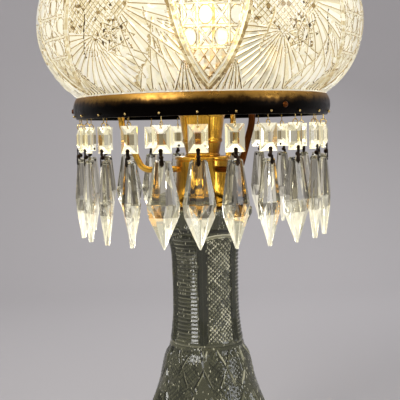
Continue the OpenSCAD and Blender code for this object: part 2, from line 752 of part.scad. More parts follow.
// Lobed link: a leaf on the bead, a pointed leaf on the prism turned with it, and a knot between
link_t = 0.8;
lobe_r = 1.9;
knot_r = 2;
rivet_r = 1.3;
rivet_t = 0.5;
bead_leaf_y = 2.7;
prism_leaf_y = 3.2;
module link(yaw) {
    knot = (bead_foot_hole + prism_hole) / 2;
    module leaf(z, y, pointed) {
        root = z + (knot - z) * 0.25;
        translate([0, -y, 0]) rotate([90, 0, 0]) linear_extrude(link_t) {
            translate([0, z]) circle(lobe_r, $fn = 32);
            polygon([[-lobe_r + 0.2, root], [lobe_r - 0.2, root], [1.1, knot], [-1.1, knot]]);
            if (pointed) polygon([[-lobe_r + 0.4, z - 1], [lobe_r - 0.4, z - 1], [0, z - 2.7]]);
        }
        translate([0, -y, z]) rotate([-90, 0, 0]) {
            cylinder(r = link_pin_r, h = 2 * y, $fn = 24);
            translate([0, 0, 2 * y]) cylinder(r = rivet_r, h = rivet_t, $fn = 24);
        }
    }
    leaf(bead_foot_hole, bead_leaf_y, false);
    translate([0, -bead_leaf_y + rivet_t, knot]) sphere(knot_r, $fn = 32);
    rotate(yaw) leaf(prism_hole, prism_leaf_y, true);
}

// Turn of each prism about its link, set by set, as they happen to hang
YAWS = [0, 22, 17, -12, 15, 6, -14, 5, 18, -9, -22, 12, -5, 20, 8, -20, 14, -6, 25, 10, -15, -28, -25, 12];
module prism_set(i) {
    yaw = YAWS[i];
    prism_frame(i) translate([0, -pin_r, loop_z]) {
        color([1, 1, 0.95, 0.6]) bead();
        color("#201810") link(yaw);
        color([0.9, 0.95, 1, 0.6]) rotate(yaw) spear();
    }
}

glass_base();
felt_pad();
base_plate();
base_washer();
base_nut();
outlet_bush();
lamp_pipe();
cap_gasket();
brass_cap();
socket_cup();
pipe_locknut();
arm_left();
arm_front();
arm_rear();
arm_screws();
shade_ring();
prism_pins();
holder_cap();
holder_shell();
holder_liner();
holder_core();
screw_shell();
centre_contact();
switch_key();
bulb_glass();
bulb_base();
bulb_stem();
bulb_filament();
shade();
for (i = [0:len(PRISMS) - 1]) prism_set(i);
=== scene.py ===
"""Looks of a cut glass table lamp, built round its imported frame.

Sizes are in millimetres until a mesh is made, which is in metres. +Z is up, and -Y is the front.
An azimuth is counted from the front towards +X, in radians.
"""
import json
import math

import bmesh
import bpy
import numpy as np
from mathutils import Matrix, Vector

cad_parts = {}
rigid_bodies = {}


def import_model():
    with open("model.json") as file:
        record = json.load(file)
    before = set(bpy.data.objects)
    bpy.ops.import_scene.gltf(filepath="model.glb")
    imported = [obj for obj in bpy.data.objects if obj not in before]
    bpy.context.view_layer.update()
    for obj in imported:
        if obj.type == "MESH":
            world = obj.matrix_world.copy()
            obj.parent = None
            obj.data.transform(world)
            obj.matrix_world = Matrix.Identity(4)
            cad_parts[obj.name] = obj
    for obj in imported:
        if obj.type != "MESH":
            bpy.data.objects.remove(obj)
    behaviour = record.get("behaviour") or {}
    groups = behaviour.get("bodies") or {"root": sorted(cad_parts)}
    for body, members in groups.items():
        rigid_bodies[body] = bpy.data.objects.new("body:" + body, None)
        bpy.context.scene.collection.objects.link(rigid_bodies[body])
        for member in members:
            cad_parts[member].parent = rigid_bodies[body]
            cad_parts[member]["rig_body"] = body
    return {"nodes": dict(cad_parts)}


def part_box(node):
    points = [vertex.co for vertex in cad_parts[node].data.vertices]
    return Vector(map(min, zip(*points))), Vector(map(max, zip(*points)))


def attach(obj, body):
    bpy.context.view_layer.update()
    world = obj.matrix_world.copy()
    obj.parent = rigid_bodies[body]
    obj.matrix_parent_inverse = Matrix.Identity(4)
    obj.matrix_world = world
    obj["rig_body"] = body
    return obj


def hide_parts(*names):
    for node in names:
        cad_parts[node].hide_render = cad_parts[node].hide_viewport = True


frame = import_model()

MM = 0.001
TURN = 2 * math.pi
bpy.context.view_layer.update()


def span(node):
    """Lowest and highest corner of a CAD node, in millimetres."""
    low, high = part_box(node)
    return np.array(low) / MM, np.array(high) / MM


# Heights and radii taken from the frame
ring_low, ring_high = span("shade_ring")
shade_low, shade_high = span("shade")
base_low, base_high = span("glass_base")
cap_low, cap_high = span("brass_cap")
cup_low, cup_high = span("socket_cup")
bulb_base_low, bulb_base_high = span("bulb_base")
bulb_low, bulb_high = span("bulb_glass")
screw_low, screw_high = span("screw_shell")
felt_high = span("felt_pad")[1]
RING_Z = ring_low[2]
RING_TOP = ring_high[2]
CAP_Z = cap_low[2]
CAP_TOP = cap_high[2]


def add(name, data):
    """Puts an object for a mesh, a camera or a lamp into the scene."""
    thing = bpy.data.objects.new(name, data)
    bpy.context.scene.collection.objects.link(thing)
    return thing


# Camera
CAMERA_PLACE = (0, -0.765, 0.353)
CAMERA_PITCH = 5.06
CAMERA_ROLL = -1.3
CAMERA_TURN = 0.27
PICTURE = 400
FOCAL_PIXELS = 790
SENSOR = 36


def make_camera():
    """A camera at the photograph's height and distance, turned, pitched and rolled a little as it was."""
    data = bpy.data.cameras.new("camera")
    data.sensor_width = SENSOR
    data.lens = FOCAL_PIXELS / PICTURE * SENSOR
    data.clip_start = 0.02
    camera = add("camera", data)
    turn = Matrix.Rotation(math.radians(CAMERA_TURN), 4, "Z")
    pitch = Matrix.Rotation(math.radians(90 - CAMERA_PITCH), 4, "X")
    roll = Matrix.Rotation(math.radians(CAMERA_ROLL), 4, "Z")
    camera.matrix_world = Matrix.Translation(CAMERA_PLACE) @ turn @ pitch @ roll
    bpy.context.scene.camera = camera


# Meshes from grids
def grid_faces(count, columns, poles=(), closed=False, lean=None):
    """Triangles over a grid whose columns join up round the axis. A row in poles is one point.
    closed joins the last row to the first. Where lean holds, a cell is cut along its other diagonal."""
    number = np.arange(count * columns).reshape(count, columns)
    for row in poles:
        number[row] = number[row, 0]
    above = np.roll(number, -1, axis=0)
    if not closed:
        number, above = number[:-1], above[:-1]
    a, b = number, np.roll(number, -1, axis=1)
    d, c = above, np.roll(above, -1, axis=1)
    lean = np.zeros(a.shape, bool) if lean is None else lean
    first = np.stack([a, b, np.where(lean, d, c)], -1)
    second = np.stack([np.where(lean, b, a), c, d], -1)
    faces = np.concatenate([first.reshape(-1, 3), second.reshape(-1, 3)])
    whole = (faces[:, 0] != faces[:, 1]) & (faces[:, 1] != faces[:, 2]) & (faces[:, 2] != faces[:, 0])
    return faces[whole]


def stand_in(name, mesh, place, bevel=0, angle=25):
    """Adds a mesh in place of a CAD node. place is its material, its body, the node and its slot; the slot
    is not used. bevel is the width of a small flat along the edges past angle, in degrees."""
    material, body, node, slot = place
    mesh.materials.append(material)
    piece = add(name, mesh)
    if bevel:
        edge = piece.modifiers.new("edges", "BEVEL")
        edge.width = bevel * MM
        edge.segments = 1
        edge.limit_method = "ANGLE"
        edge.angle_limit = math.radians(angle)
    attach(piece, body)
    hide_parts(node)


def make_piece(name, points, faces, sharp, place, smooth=True, values=None):
    """A mesh object from points in millimetres. sharp is the angle in degrees past which an edge of a
    smooth mesh stays sharp. values are numbers for each face or corner, by name."""
    used, faces = np.unique(faces, return_inverse=True)
    faces = faces.reshape(-1, 3)
    mesh = bpy.data.meshes.new(name)
    mesh.from_pydata((points.reshape(-1, 3)[used] * MM).tolist(), [], faces.tolist())
    mesh.polygons.foreach_set("use_smooth", np.full(len(faces), smooth))
    for key, numbers in (values or {}).items():
        kind = "FACE" if numbers.ndim == 1 else "CORNER"
        mesh.attributes.new(key, "FLOAT", kind).data.foreach_set("value", numbers.astype(np.float32).ravel())
    mesh.set_sharp_from_angle(angle=math.radians(sharp))
    stand_in(name, mesh, place)


def around(r, z, azimuth):
    """Points at radii, heights and azimuths."""
    return np.stack(np.broadcast_arrays(r * np.sin(azimuth), -r * np.cos(azimuth), z), -1)


def lathe(name, outline, columns, sharp, place):
    """An outline of (radius, height) turned into a solid: up the outside, and down the inside if any."""
    r, z = np.array(outline, float).T[:, :, None]
    poles = [k for k, (radius, height) in enumerate(outline) if radius < 1e-6]
    faces = grid_faces(len(outline), columns, poles, True)
    make_piece(name, around(r, z, np.arange(columns) * TURN / columns), faces, sharp, place)


def rounded(corners, steps=4):
    """An outline through corners (r, z, radius): a corner with a radius becomes a quadratic curve that
    starts and ends that far from it on its two sides."""
    points = []
    corner = np.array([c[:2] for c in corners], float)
    for k, (r, z, radius) in enumerate(corners):
        before, here, after = corner[k - 1], corner[k], corner[(k + 1) % len(corner)]
        if radius == 0:
            points.append((r, z))
            continue
        back, on = before - here, after - here
        start = here + back * min(0.5, radius / np.linalg.norm(back))
        end = here + on * min(0.5, radius / np.linalg.norm(on))
        for t in np.linspace(0, 1, steps + 1):
            points.append(tuple(start * (1 - t) ** 2 + 2 * here * t * (1 - t) + end * t ** 2))
    return points


def smooth_line(points, steps):
    """Points on cubics through the given ones, whose slope at a point follows its two neighbours."""
    p = np.array(points, float)
    p = np.concatenate([p[:1], p, p[-1:]])
    t = np.linspace(0, 1, steps, endpoint=False)[:, None]
    line = []
    for a, b, c, d in zip(p[:-3], p[1:-2], p[2:-1], p[3:]):
        square, cube = 2 * a - 5 * b + 4 * c - d, 3 * b - a - 3 * c + d
        line.append(0.5 * (2 * b + (c - a) * t + square * t ** 2 + cube * t ** 3))
    return np.concatenate(line + [p[-1:]])


def tube(path, radius, sides):
    """Rows of points on a round rod along a path in an upright plane through the axis. path is (r, z,
    heading) in radians, and each ring stands square to its heading. The ends close in small bevels."""
    r, z, heading = np.array(path).T
    q = np.arange(sides) * TURN / sides
    bevel = np.array([0, 0.8] + [1] * (len(r) - 4) + [0.8, 0])[:, None] * radius
    across = -bevel * np.cos(q)
    return np.stack([-bevel * np.sin(q), -(r[:, None] + across * np.sin(heading)[:, None]),
                     z[:, None] - across * np.cos(heading)[:, None]], -1)


# Cut glass
SPILL = 0.2


def rows_of(look, phase, deep, where):
    """A set of V-shaped cuts along whole phases, with their ridges along halves."""
    return look, phase, np.round(phase), deep, where


def crossed(look, x, up, pitch, deep, where):
    """Two sets of cuts that lean to both sides, across each other."""
    return [rows_of(look, (x + lean * up) / pitch, deep, where) for lean in (1, -1)]


def single(look, distance, half_width, deep, where):
    """One V-shaped cut along distance 0, with its ridges at half_width."""
    phase = distance / (2 * half_width)
    return look, phase, 0 * phase, deep, where & (np.abs(phase) < 0.62)


def deepest(layers, shape):
    """The deepest of several sets of cuts at each place: its depth, the number of its flank and the layer
    that owns the place (-1 for none). A layer also owns a narrow strip outside its ridges."""
    depth, flank, owner = np.full(shape, -SPILL), np.full(shape, -1.0), np.full(shape, -1)
    for number, (look, phase, whole, deep, where) in enumerate(layers):
        cut = np.where(where, deep * (1 - 2 * np.abs(phase - whole)), -9)
        wins = cut > depth
        depth = np.where(wins, cut, depth)
        flank = np.where(wins, number * 100 + np.floor(2 * phase), flank)
        owner = np.where(wins, number, owner)
    return np.maximum(depth, 0), flank, owner


def phase_of(layers, owner):
    """The phase at each place of the layer that owns it."""
    return np.take_along_axis(np.stack([layer[1] for layer in layers]), np.maximum(owner, 0)[None], 0)[0]


def slopes(pattern, azimuth, way, radius, owner):
    """Change of the owner's phase for each millimetre round and for each up the surface."""
    step = 0.05
    here = phase_of(pattern(azimuth, way), owner)
    round_it = (phase_of(pattern(azimuth + step / radius, way), owner) - here) / step
    up = (phase_of(pattern(azimuth, way + step), owner) - here) / step
    return here, round_it, up


def cut_grid(pattern, ways, turns, radius_at, fixed_rows, sectors):
    """A grid of azimuths and ways moved onto the nearest crease or ridge, and the cuts' depth there. A
    point moves by (crease - phase) along the phase's slope over its square. Moves of half a cell and more
    are left out, and the fixed rows and the columns on the sectors' edges and middles stay."""
    azimuth, way = np.broadcast_arrays(turns, ways[:, None])
    fixed = np.zeros(way.shape, bool)
    fixed[fixed_rows] = True
    fixed[:, ::len(turns) // (2 * sectors)] = True
    cell_x, cell_s = radius_at(way) * TURN / len(turns), np.gradient(ways)[:, None]
    for step in range(2):
        radius = radius_at(way)
        owner = deepest(pattern(azimuth, way), way.shape)[2]
        phase, slope_x, slope_s = slopes(pattern, azimuth, way, radius, owner)
        square = slope_x ** 2 + slope_s ** 2 + 1e-9
        gap = np.round(2 * phase) / 2 - phase
        move_x, move_s = gap * slope_x / square, gap * slope_s / square
        good = (owner >= 0) & (np.abs(move_x) < 0.45 * cell_x) & (np.abs(move_s) < 0.45 * cell_s) & ~fixed
        azimuth = azimuth + np.where(good, move_x / radius, 0)
        way = way + np.where(good, move_s, 0)
    return azimuth, way, deepest(pattern(azimuth, way), way.shape)[0]


def cut_faces(depth, poles=()):
    """Triangles over a cut grid, each cell cut along the diagonal with the smaller step in depth."""
    beside = np.roll(depth, -1, 1)
    lean = np.abs(depth[1:] - beside[:-1]) < np.abs(depth[:-1] - beside[1:])
    return grid_faces(*depth.shape, poles, lean=lean)


def cut_piece(name, outside, faces, looks, inside, turns, inside_tone, sharp, place):
    """A cut outside joined to a plain inside, an outline that runs down to the outside's first row, from
    a point on the axis or else from the outside's last row. looks are the painted tone, line shade and
    line outside: painted light and shade of the cut glass."""
    r, z = np.array(inside, float).T[:, :, None]
    points = np.concatenate([outside, around(r, z, turns)])
    columns, poled = len(turns), inside[0][0] == 0
    number = np.arange((len(outside) - (not poled)) * columns, len(points) * columns)
    number = np.concatenate([number, np.arange(columns)])
    lower = number[grid_faces(len(number) // columns, columns, (0,) if poled else ())]
    values = {key: np.concatenate([cut, np.full((len(lower), *cut.shape[1:]), plain)])
              for key, cut, plain in zip(("tone", "ink", "line"), looks, (inside_tone, 0, 9))}
    smooth = np.arange(len(faces) + len(lower)) >= len(faces)
    make_piece(name, points, np.concatenate([faces, lower]), sharp, place, smooth, values)


def scatter(*numbers):
    """A number from 0 to 1 for each place, that jumps about with the given whole numbers."""
    mixed = sum(np.asarray(n) * f for n, f in zip(numbers, (12.9898, 78.233, 37.719)))
    return np.abs(np.sin(mixed) * 43758.5453) % 1


def facets(pattern, looks, bare, faces, azimuth, way, radius_at, turn, sectors):
    """How light each triangle is painted, how dark its painted line is, and how far its corners lie from
    that line. The tones and lines are painted light and shade: the glints and dark refractions of cut
    glass. A look is (tone of even flanks, tone of odd ones, how much they jump, line shade, half width of
    the line, 1 where the line follows the ridges and not the creases). Distances count in half widths."""
    a, w = azimuth.ravel()[faces], way.ravel()[faces]
    a = a[:, :1] + (a - a[:, :1] + math.pi) % TURN - math.pi
    middle, height = a.mean(1), w.mean(1)
    layers = pattern(middle, height)
    flank, owner = deepest(layers, middle.shape)[1:]
    here, round_it, up = slopes(pattern, middle, height, radius_at(height), owner)
    chosen = np.maximum(owner, 0)
    even, odd, jumps, ink, half, ridge = np.array([looks[layer[0]] for layer in layers], float)[chosen].T
    whole = np.take_along_axis(np.stack([layer[2] for layer in layers]), chosen[None], 0)[0]
    target = np.where(ridge > 0.5, np.floor(here) + 0.5, whole)
    corner = phase_of(pattern(a, w), np.repeat(owner[:, None], 3, 1))
    line = (corner - target[:, None]) / (np.hypot(round_it, up) * half + 1e-6)[:, None]
    part = np.floor((middle - turn) / (TURN / sectors / 2))
    tone = np.where(flank % 2 < 1, even, odd) + jumps * (scatter(flank, part, np.floor(height / 9)) - 0.5)
    none = owner < 0
    tone[none], ink[none], line[none] = bare, 0, 9
    names = np.array([layer[0] for layer in layers] + ["bare"])[owner]
    return middle, height, names, tone, ink, line


# Shade: its outline is a belly arc and a crown arc that meet in one tangent
SHADE_WALL = 5
SHADE_SECTORS = 6
SHADE_TURN = math.radians(3)
neck_r = 117
neck_in_r = 110
shade_r = shade_high[0]
belly_rise = 65.5
belly_z = RING_TOP + belly_rise
belly_out = shade_r - neck_r
belly_r = (belly_out ** 2 + belly_rise ** 2) / (2 * belly_out)
belly_x = shade_r - belly_r
crown_rise = shade_high[2] - belly_z
crown_r = (belly_x ** 2 + crown_rise ** 2 - belly_r ** 2) / (2 * (crown_rise - belly_r))
crown_z = shade_high[2] - crown_r
tangent = math.atan2(belly_z - crown_z, belly_x)
below_ring = math.asin(belly_rise / belly_r)
belly_arc = belly_r * (below_ring + tangent)
shade_way = belly_arc + crown_r * (math.pi / 2 - tangent)


def dome(way, depth=0):
    """Radius and height on the shade, a way up along its outside from the ring's top, depth under it.
    The outline's outward direction leans up by angle, which grows as way over the arc's radius."""
    belly = way < belly_arc
    angle = np.where(belly, way / belly_r - below_ring, tangent + (way - belly_arc) / crown_r)
    centre_r, centre_z = np.where(belly, belly_x, 0), np.where(belly, belly_z, crown_z)
    radius = np.where(belly, belly_r, crown_r) - depth
    return centre_r + radius * np.cos(angle), centre_z + radius * np.sin(angle)


VESICA_FOOT = 4
VESICA_LENGTH = 220
VESICA_SLOPE = 0.64
EDGE_HALF = 2.5
CANE_W, CANE_H = 12.3, 17.1
CANE_X, CANE_WAY = -3.5, 69
CANE_FOOT = 42
BUTTON_W, BUTTON_H = 5.5, 7.3
FAN_STEP = math.radians(9.5)
RIGHT_FAN = (math.radians(-7.3), 57.8)
LEFT_FAN = (math.radians(12.9), 68.2)
BORDER_WAYS = (15.8, 36.9, 68.2)
BORDER_TURNS = np.radians((2.8, 10.3, 12.9))
SIDE_WAYS = (43.5, 52.6, 71)
SIDE_TURNS = np.radians((16, 17.3, 19.6))
FOOT_FAN_APEX = (math.radians(8.1), 38.7)
FOOT_FAN_STEP = math.radians(8)
STAR_TURN = math.radians(1)
STAR_WAY = 55.7
STAR_R = 16
# Places of near-black spots of painted shade, by turn in degrees from between two vesicas and way up
DARK_SPOTS = ((-3.2, 61), (2.8, 62.8), (2.1, 52.9), (-0.3, 79.9), (-4.6, 51))
UPPER_FAN_WAY = 82
UPPER_FAN_STEP = math.radians(12)
CROWN_STAR_R = 60
CROWN_CHORD = 15.5
# Painted tones and line shade of each kind of cut on the shade, standing in for the lit glass's light
SHADE_LOOKS = {
    "edge": (0.44, 0.66, 0.1, -0.35, 0.5, 0), "inner": (0.9, 0.72, 0.2, 0.4, 0.45, 1),
    "border": (0.94, 0.84, 0.1, 0.5, 0.5, 1), "button": (1.0, 0.85, 0.1, 0.65, 0.5, 0),
    "cross": (0.96, 0.84, 0.15, 0.6, 0.5, 1), "kite": (0.93, 0.74, 0.3, 0.5, 0.5, 0),
    "fan": (1.0, 0.82, 0.2, 0.6, 0.6, 0), "foot_fan": (0.97, 0.74, 0.3, 0.65, 0.6, 0),
    "leaf": (0.74, 0.46, 0.2, 0.2, 0.6, 0), "side": (0.88, 0.7, 0.2, 0.4, 0.9, 0),
    "star": (0.94, 0.66, 0.35, 0.55, 0.5, 0), "rays": (0.97, 0.74, 0.25, 0.6, 0.45, 0),
    "teeth": (0.95, 0.76, 0.2, 0.6, 0.5, 0), "hatch": (0.94, 0.72, 0.35, 0.5, 0.45, 0)}


def vesica_distance(x, way):
    """Distance outside the vesica, whose half width is slope times (up - up squared over its length)."""
    up = way - VESICA_FOOT
    lean = VESICA_SLOPE * (1 - 2 * up / VESICA_LENGTH)
    side = (x - VESICA_SLOPE * up * (1 - up / VESICA_LENGTH)) / np.sqrt(1 + lean ** 2)
    past = np.maximum(-up, up - VESICA_LENGTH)
    return np.where(past > 0, np.hypot(x, past), side)


def cane(side, way, inside):
    """A chequer of cells between level and upright mitres: oval buttons, and crosses from corner to
    corner. Near the vesica's foot mitres along its two sides make kites instead."""
    u, v = (side - CANE_X) / CANE_W, (way - CANE_WAY) / CANE_H
    cell_u, cell_v = u - np.round(u), v - np.round(v)
    high = inside & (way > CANE_FOOT)
    button = (np.round(u) + np.round(v)) % 2 == 0
    oval = np.hypot(cell_u * CANE_W / BUTTON_W, cell_v * CANE_H / BUTTON_H)
    diagonal = (np.abs(cell_u) - np.abs(cell_v)) / math.hypot(1 / CANE_W, 1 / CANE_H)
    return [single("border", (np.abs(cell_u) - 0.5) * CANE_W, 1.2, 1.0, high),
            single("border", (np.abs(cell_v) - 0.5) * CANE_H, 1.2, 1.0, high),
            single("button", (oval - 1) * 6.2, 0.9, 0.7, high & button),
            single("cross", diagonal, 1.4, 1.0, high & ~button),
            *crossed("kite", side, 0.6 * way, 8.8, 1.2, inside & (way <= CANE_FOOT))]


def star_layers(u, v, points, radius, chord, half_width, depth, where):
    """A star's chords: lines at one distance from its middle, between the points' directions."""
    where = where & (np.hypot(u, v) < radius)
    turns = [(k + 0.5) * TURN / points for k in range(points)]
    return [single("star", u * math.sin(a) + v * math.cos(a) - chord, half_width, depth, where)
            for a in turns]


def fan_layers(look, u, v, step, low, high, where):
    """A fan's rays from its tip at u = v = 0, with angles counted from straight down towards +u. Near the
    tip only every other ray goes on."""
    far, angle = np.hypot(u, v), np.arctan2(u, -v)
    spread = where & (angle > low) & (angle < high) & (far < 66)
    return [rows_of(look, angle / step, np.minimum(1.3, 0.07 * far), spread & (far > 12)),
            rows_of(look, angle / step / 2, 0.7, spread & (far > 4) & (far <= 12))]


def shade_places(azimuth):
    """Turn from the nearest vesica, and turn from the middle between the two vesicas on both sides."""
    sector = TURN / SHADE_SECTORS
    turned_by = azimuth - SHADE_TURN
    return (turned_by + sector / 2) % sector - sector / 2, turned_by % sector - sector / 2


def shade_layers(azimuth, way):
    """Cuts of the shade: six vesicas of cane, and between each two a small star and the fans of two tips,
    under a crown star. The two fans meet along a border that leans."""
    signed, across = shade_places(azimuth)
    fold = np.abs(signed)
    r = dome(way)[0]
    x = fold * r
    d = vesica_distance(x, way)
    outside, inside = d > EDGE_HALF, d < -EDGE_HALF - 2.4
    layers = [single("edge", d, EDGE_HALF, 1.6, way > 0),
              single("inner", d + EDGE_HALF + 1.2, 1.2, 0.8, way > 0)] + cane(signed * r, way, inside)

    star_u, star_v = (across - STAR_TURN) * r, way - STAR_WAY
    star_far = np.hypot(star_u, star_v)
    cut = outside & (way > 2)
    side = (fold - np.interp(way, SIDE_WAYS, SIDE_TURNS)) * r
    layers.append(single("side", side, 1.3, 1.2, cut & (way > 40) & (way < 76)))
    low_u, low_v = (fold - FOOT_FAN_APEX[0]) * r, way - FOOT_FAN_APEX[1]
    low_angle, low_far = np.arctan2(low_u, -low_v), np.hypot(low_u, low_v)
    foot_fan = cut & (low_far > 6) & (low_angle > -0.7) & (low_angle < 2.5 * FOOT_FAN_STEP)
    layers.append(rows_of("foot_fan", low_angle / FOOT_FAN_STEP, np.minimum(1.2, 0.07 * low_far), foot_fan))
    steep = np.where(way < BORDER_WAYS[1], 0.73, 0.98)
    border = (across - np.interp(way, BORDER_WAYS, BORDER_TURNS)) * r * steep
    free = cut & ~foot_fan & (star_far > STAR_R)
    layers.append(single("leaf", border, 1.8, 1.3, cut & (star_far > STAR_R) & (way < LEFT_FAN[1])))
    layers += fan_layers("fan", (RIGHT_FAN[0] - across) * r, way - RIGHT_FAN[1], FAN_STEP,
                         math.radians(-70), math.radians(100), free & (border < 0))
    layers += fan_layers("fan", (across - LEFT_FAN[0]) * r, way - LEFT_FAN[1], FAN_STEP,
                         math.radians(-20), math.radians(110), free & (border > 0))
    layers += star_layers(star_u, star_v, 8, STAR_R, 0.383 * STAR_R, 1.3, 1.2, outside)
    rays = np.arctan2(star_u, star_v) / (TURN / 16)
    layers.append(rows_of("rays", rays, 0.7, outside & (star_far < 11)))

    upper_v = way - UPPER_FAN_WAY
    upper_far, upper_angle = np.hypot(star_u, upper_v), np.arctan2(-star_u, upper_v)
    upper = outside & (upper_angle < 6.5 * UPPER_FAN_STEP) & (upper_far > 12) & (upper_far < 66) & (r > 92)
    layers.append(rows_of("fan", upper_angle / UPPER_FAN_STEP, np.minimum(1.3, 0.06 * upper_far), upper))
    layers.append(rows_of("teeth", fold / math.radians(2.5) + 0.5, 0.9, outside & (way < 11) & (way > 1.5)))

    crown_u, crown_v = r * np.sin(azimuth - SHADE_TURN), r * np.cos(azimuth - SHADE_TURN)
    high = way > belly_arc
    layers += star_layers(crown_u, crown_v, 12, CROWN_STAR_R, CROWN_CHORD, 2.6, 1.5, high)
    crown_fan = high & outside & (r > CROWN_STAR_R) & (r < 92)
    layers.append(rows_of("fan", fold / math.radians(5), 1.2, crown_fan))
    taken = np.logical_or.reduce([way < 1.5] + [layer[4] for layer in layers])
    return layers + crossed("hatch", x, way, 5.2, 0.55, outside & ~taken)


def make_shade(material):
    """The glass dome: the cut outside, the pole, the smooth inside, and the neck that stands in the ring."""
    columns = 576
    ways = np.concatenate([np.arange(0, 180, 1.73), np.linspace(180, shade_way, 36)])
    turns = SHADE_TURN + np.arange(columns) * TURN / columns

    def radius_at(s):
        return np.maximum(dome(s)[0], 1)

    azimuth, way, depth = cut_grid(shade_layers, ways, turns, radius_at, [0, 1, -1, -2, -3], SHADE_SECTORS)
    depth[-4:] = 0
    r, z = dome(way, depth)
    r[-1] = 0
    faces = cut_faces(depth, (len(ways) - 1,))
    middle, height, names, tone, ink, line = facets(
        shade_layers, SHADE_LOOKS, 0.97, faces, azimuth, way, radius_at, SHADE_TURN, SHADE_SECTORS)
    # Painted shade: darker lines on the fans and teeth near the ring, random dark spots among the small cuts,
    # a mottled edge darker near the ring, near-black spots, and dark side lines on every other sector
    ink = np.where(np.isin(names, ("fan", "foot_fan", "teeth")) & (height < 15), ink + 0.25, ink)
    spots = scatter(np.floor(middle * 60), np.floor(height / 2.4)) > 0.93
    tone = np.where(spots & np.isin(names, ("star", "hatch", "kite", "rays")), 0.3, tone)
    mottle = 0.4 * (scatter(np.floor(middle * 40), np.floor(height / 3)) - 0.5)
    tone = np.where(names == "edge", tone + mottle - 0.1 * (height < 30), tone)
    across, here = shade_places(middle)[1], dome(height)[0]
    for turn, way_up in DARK_SPOTS:
        tone[np.hypot((across - math.radians(turn)) * here, height - way_up) < 1.4] = 0.03
    odd = np.round((middle - SHADE_TURN) / (TURN / SHADE_SECTORS)) % 2 == 1
    ink[(names == "side") & odd] = 0.95

    inside = [dome(s, SHADE_WALL) for s in np.linspace(shade_way, 5.5, 17)]
    inside[0] = (0, inside[0][1])
    low = shade_low[2]
    inside += [(neck_in_r, RING_TOP + 2), (neck_in_r, low + 1), (neck_in_r + 1, low), (neck_r - 1, low),
               (neck_r, low + 1)]
    cut_piece("cut_shade", around(r, z, azimuth), faces, (tone, ink, line), inside, turns, 0.9, 40,
              (material, "shade", "shade", "shade_glass"))


# Glass base
BASE_COLUMNS = 360
PANELS = 6
FLUTE_TURN = math.radians(-5)
foot_z = base_low[2]
lip_z = base_high[2]
foot_r = 97
column_r = 32.5
lip_r = 46.5
BASE_OUTLINE = [
    (foot_r - 4, foot_z), (foot_r, foot_z + 5), (foot_r - 2.5, foot_z + 13), (foot_r * 0.83, foot_z + 38),
    (foot_r * 0.655, foot_z + 66), (foot_r * 0.55, foot_z + 90), (column_r + 14.3, foot_z + 110),
    (column_r + 12.8, foot_z + 118), (column_r + 9, foot_z + 133), (column_r + 4.3, foot_z + 142),
    (column_r + 0.8, foot_z + 167), (column_r, foot_z + 186), (column_r, foot_z + 212),
    (column_r + 0.9, lip_z - 42), (column_r + 5.2, lip_z - 27), (lip_r - 3.5, lip_z - 14), (lip_r, lip_z - 7),
    (lip_r, lip_z - 1.2)]
base_line = smooth_line(BASE_OUTLINE, 24)
base_ways = np.concatenate([[0], np.cumsum(np.hypot(*np.diff(base_line, axis=0).T))])
PANEL_FOOT = foot_z + 150
PANEL_TOP = lip_z - 25
FAN_TOP = foot_z + 116


def base_place(way):
    """Radius and height on the base, a way up along its outside from the table."""
    return np.interp(way, base_ways, base_line[:, 0]), np.interp(way, base_ways, base_line[:, 1])


def way_at(z):
    """The way up along the base's outside to a height."""
    return float(np.interp(z, base_line[:, 1], base_ways))


fan_way = way_at(FAN_TOP)
star_way = way_at(foot_z + 56)
# Painted tones and line shade of each kind of cut on the base: dark refractions and glints
BASE_LOOKS = {
    "flute": (0.28, 0.36, 0.05, -0.16, 0.3, 0), "side": (0.46, 0.26, 0.15, 0.2, 0.4, 1),
    "step": (0.54, 0.32, 0.22, 0.15, 0.4, 0), "net": (0.76, 0.3, 0.5, 0.2, 0.4, 0),
    "low_net": (0.46, 0.34, 0.25, 0.12, 0.4, 0), "arch": (0.97, 0.8, 0.15, 0.1, 0.4, 0),
    "neck": (0.5, 0.22, 0.2, 0.2, 0.5, 0), "band": (0.6, 0.46, 0.2, 0.2, 0.4, 0),
    "mitre": (0.66, 0.26, 0.4, 0.2, 0.5, 0), "fan": (0.6, 0.32, 0.3, 0.2, 0.5, 0),
    "star": (0.7, 0.32, 0.4, 0.2, 0.5, 0), "foot": (0.66, 0.34, 0.2, 0.1, 0.5, 0)}


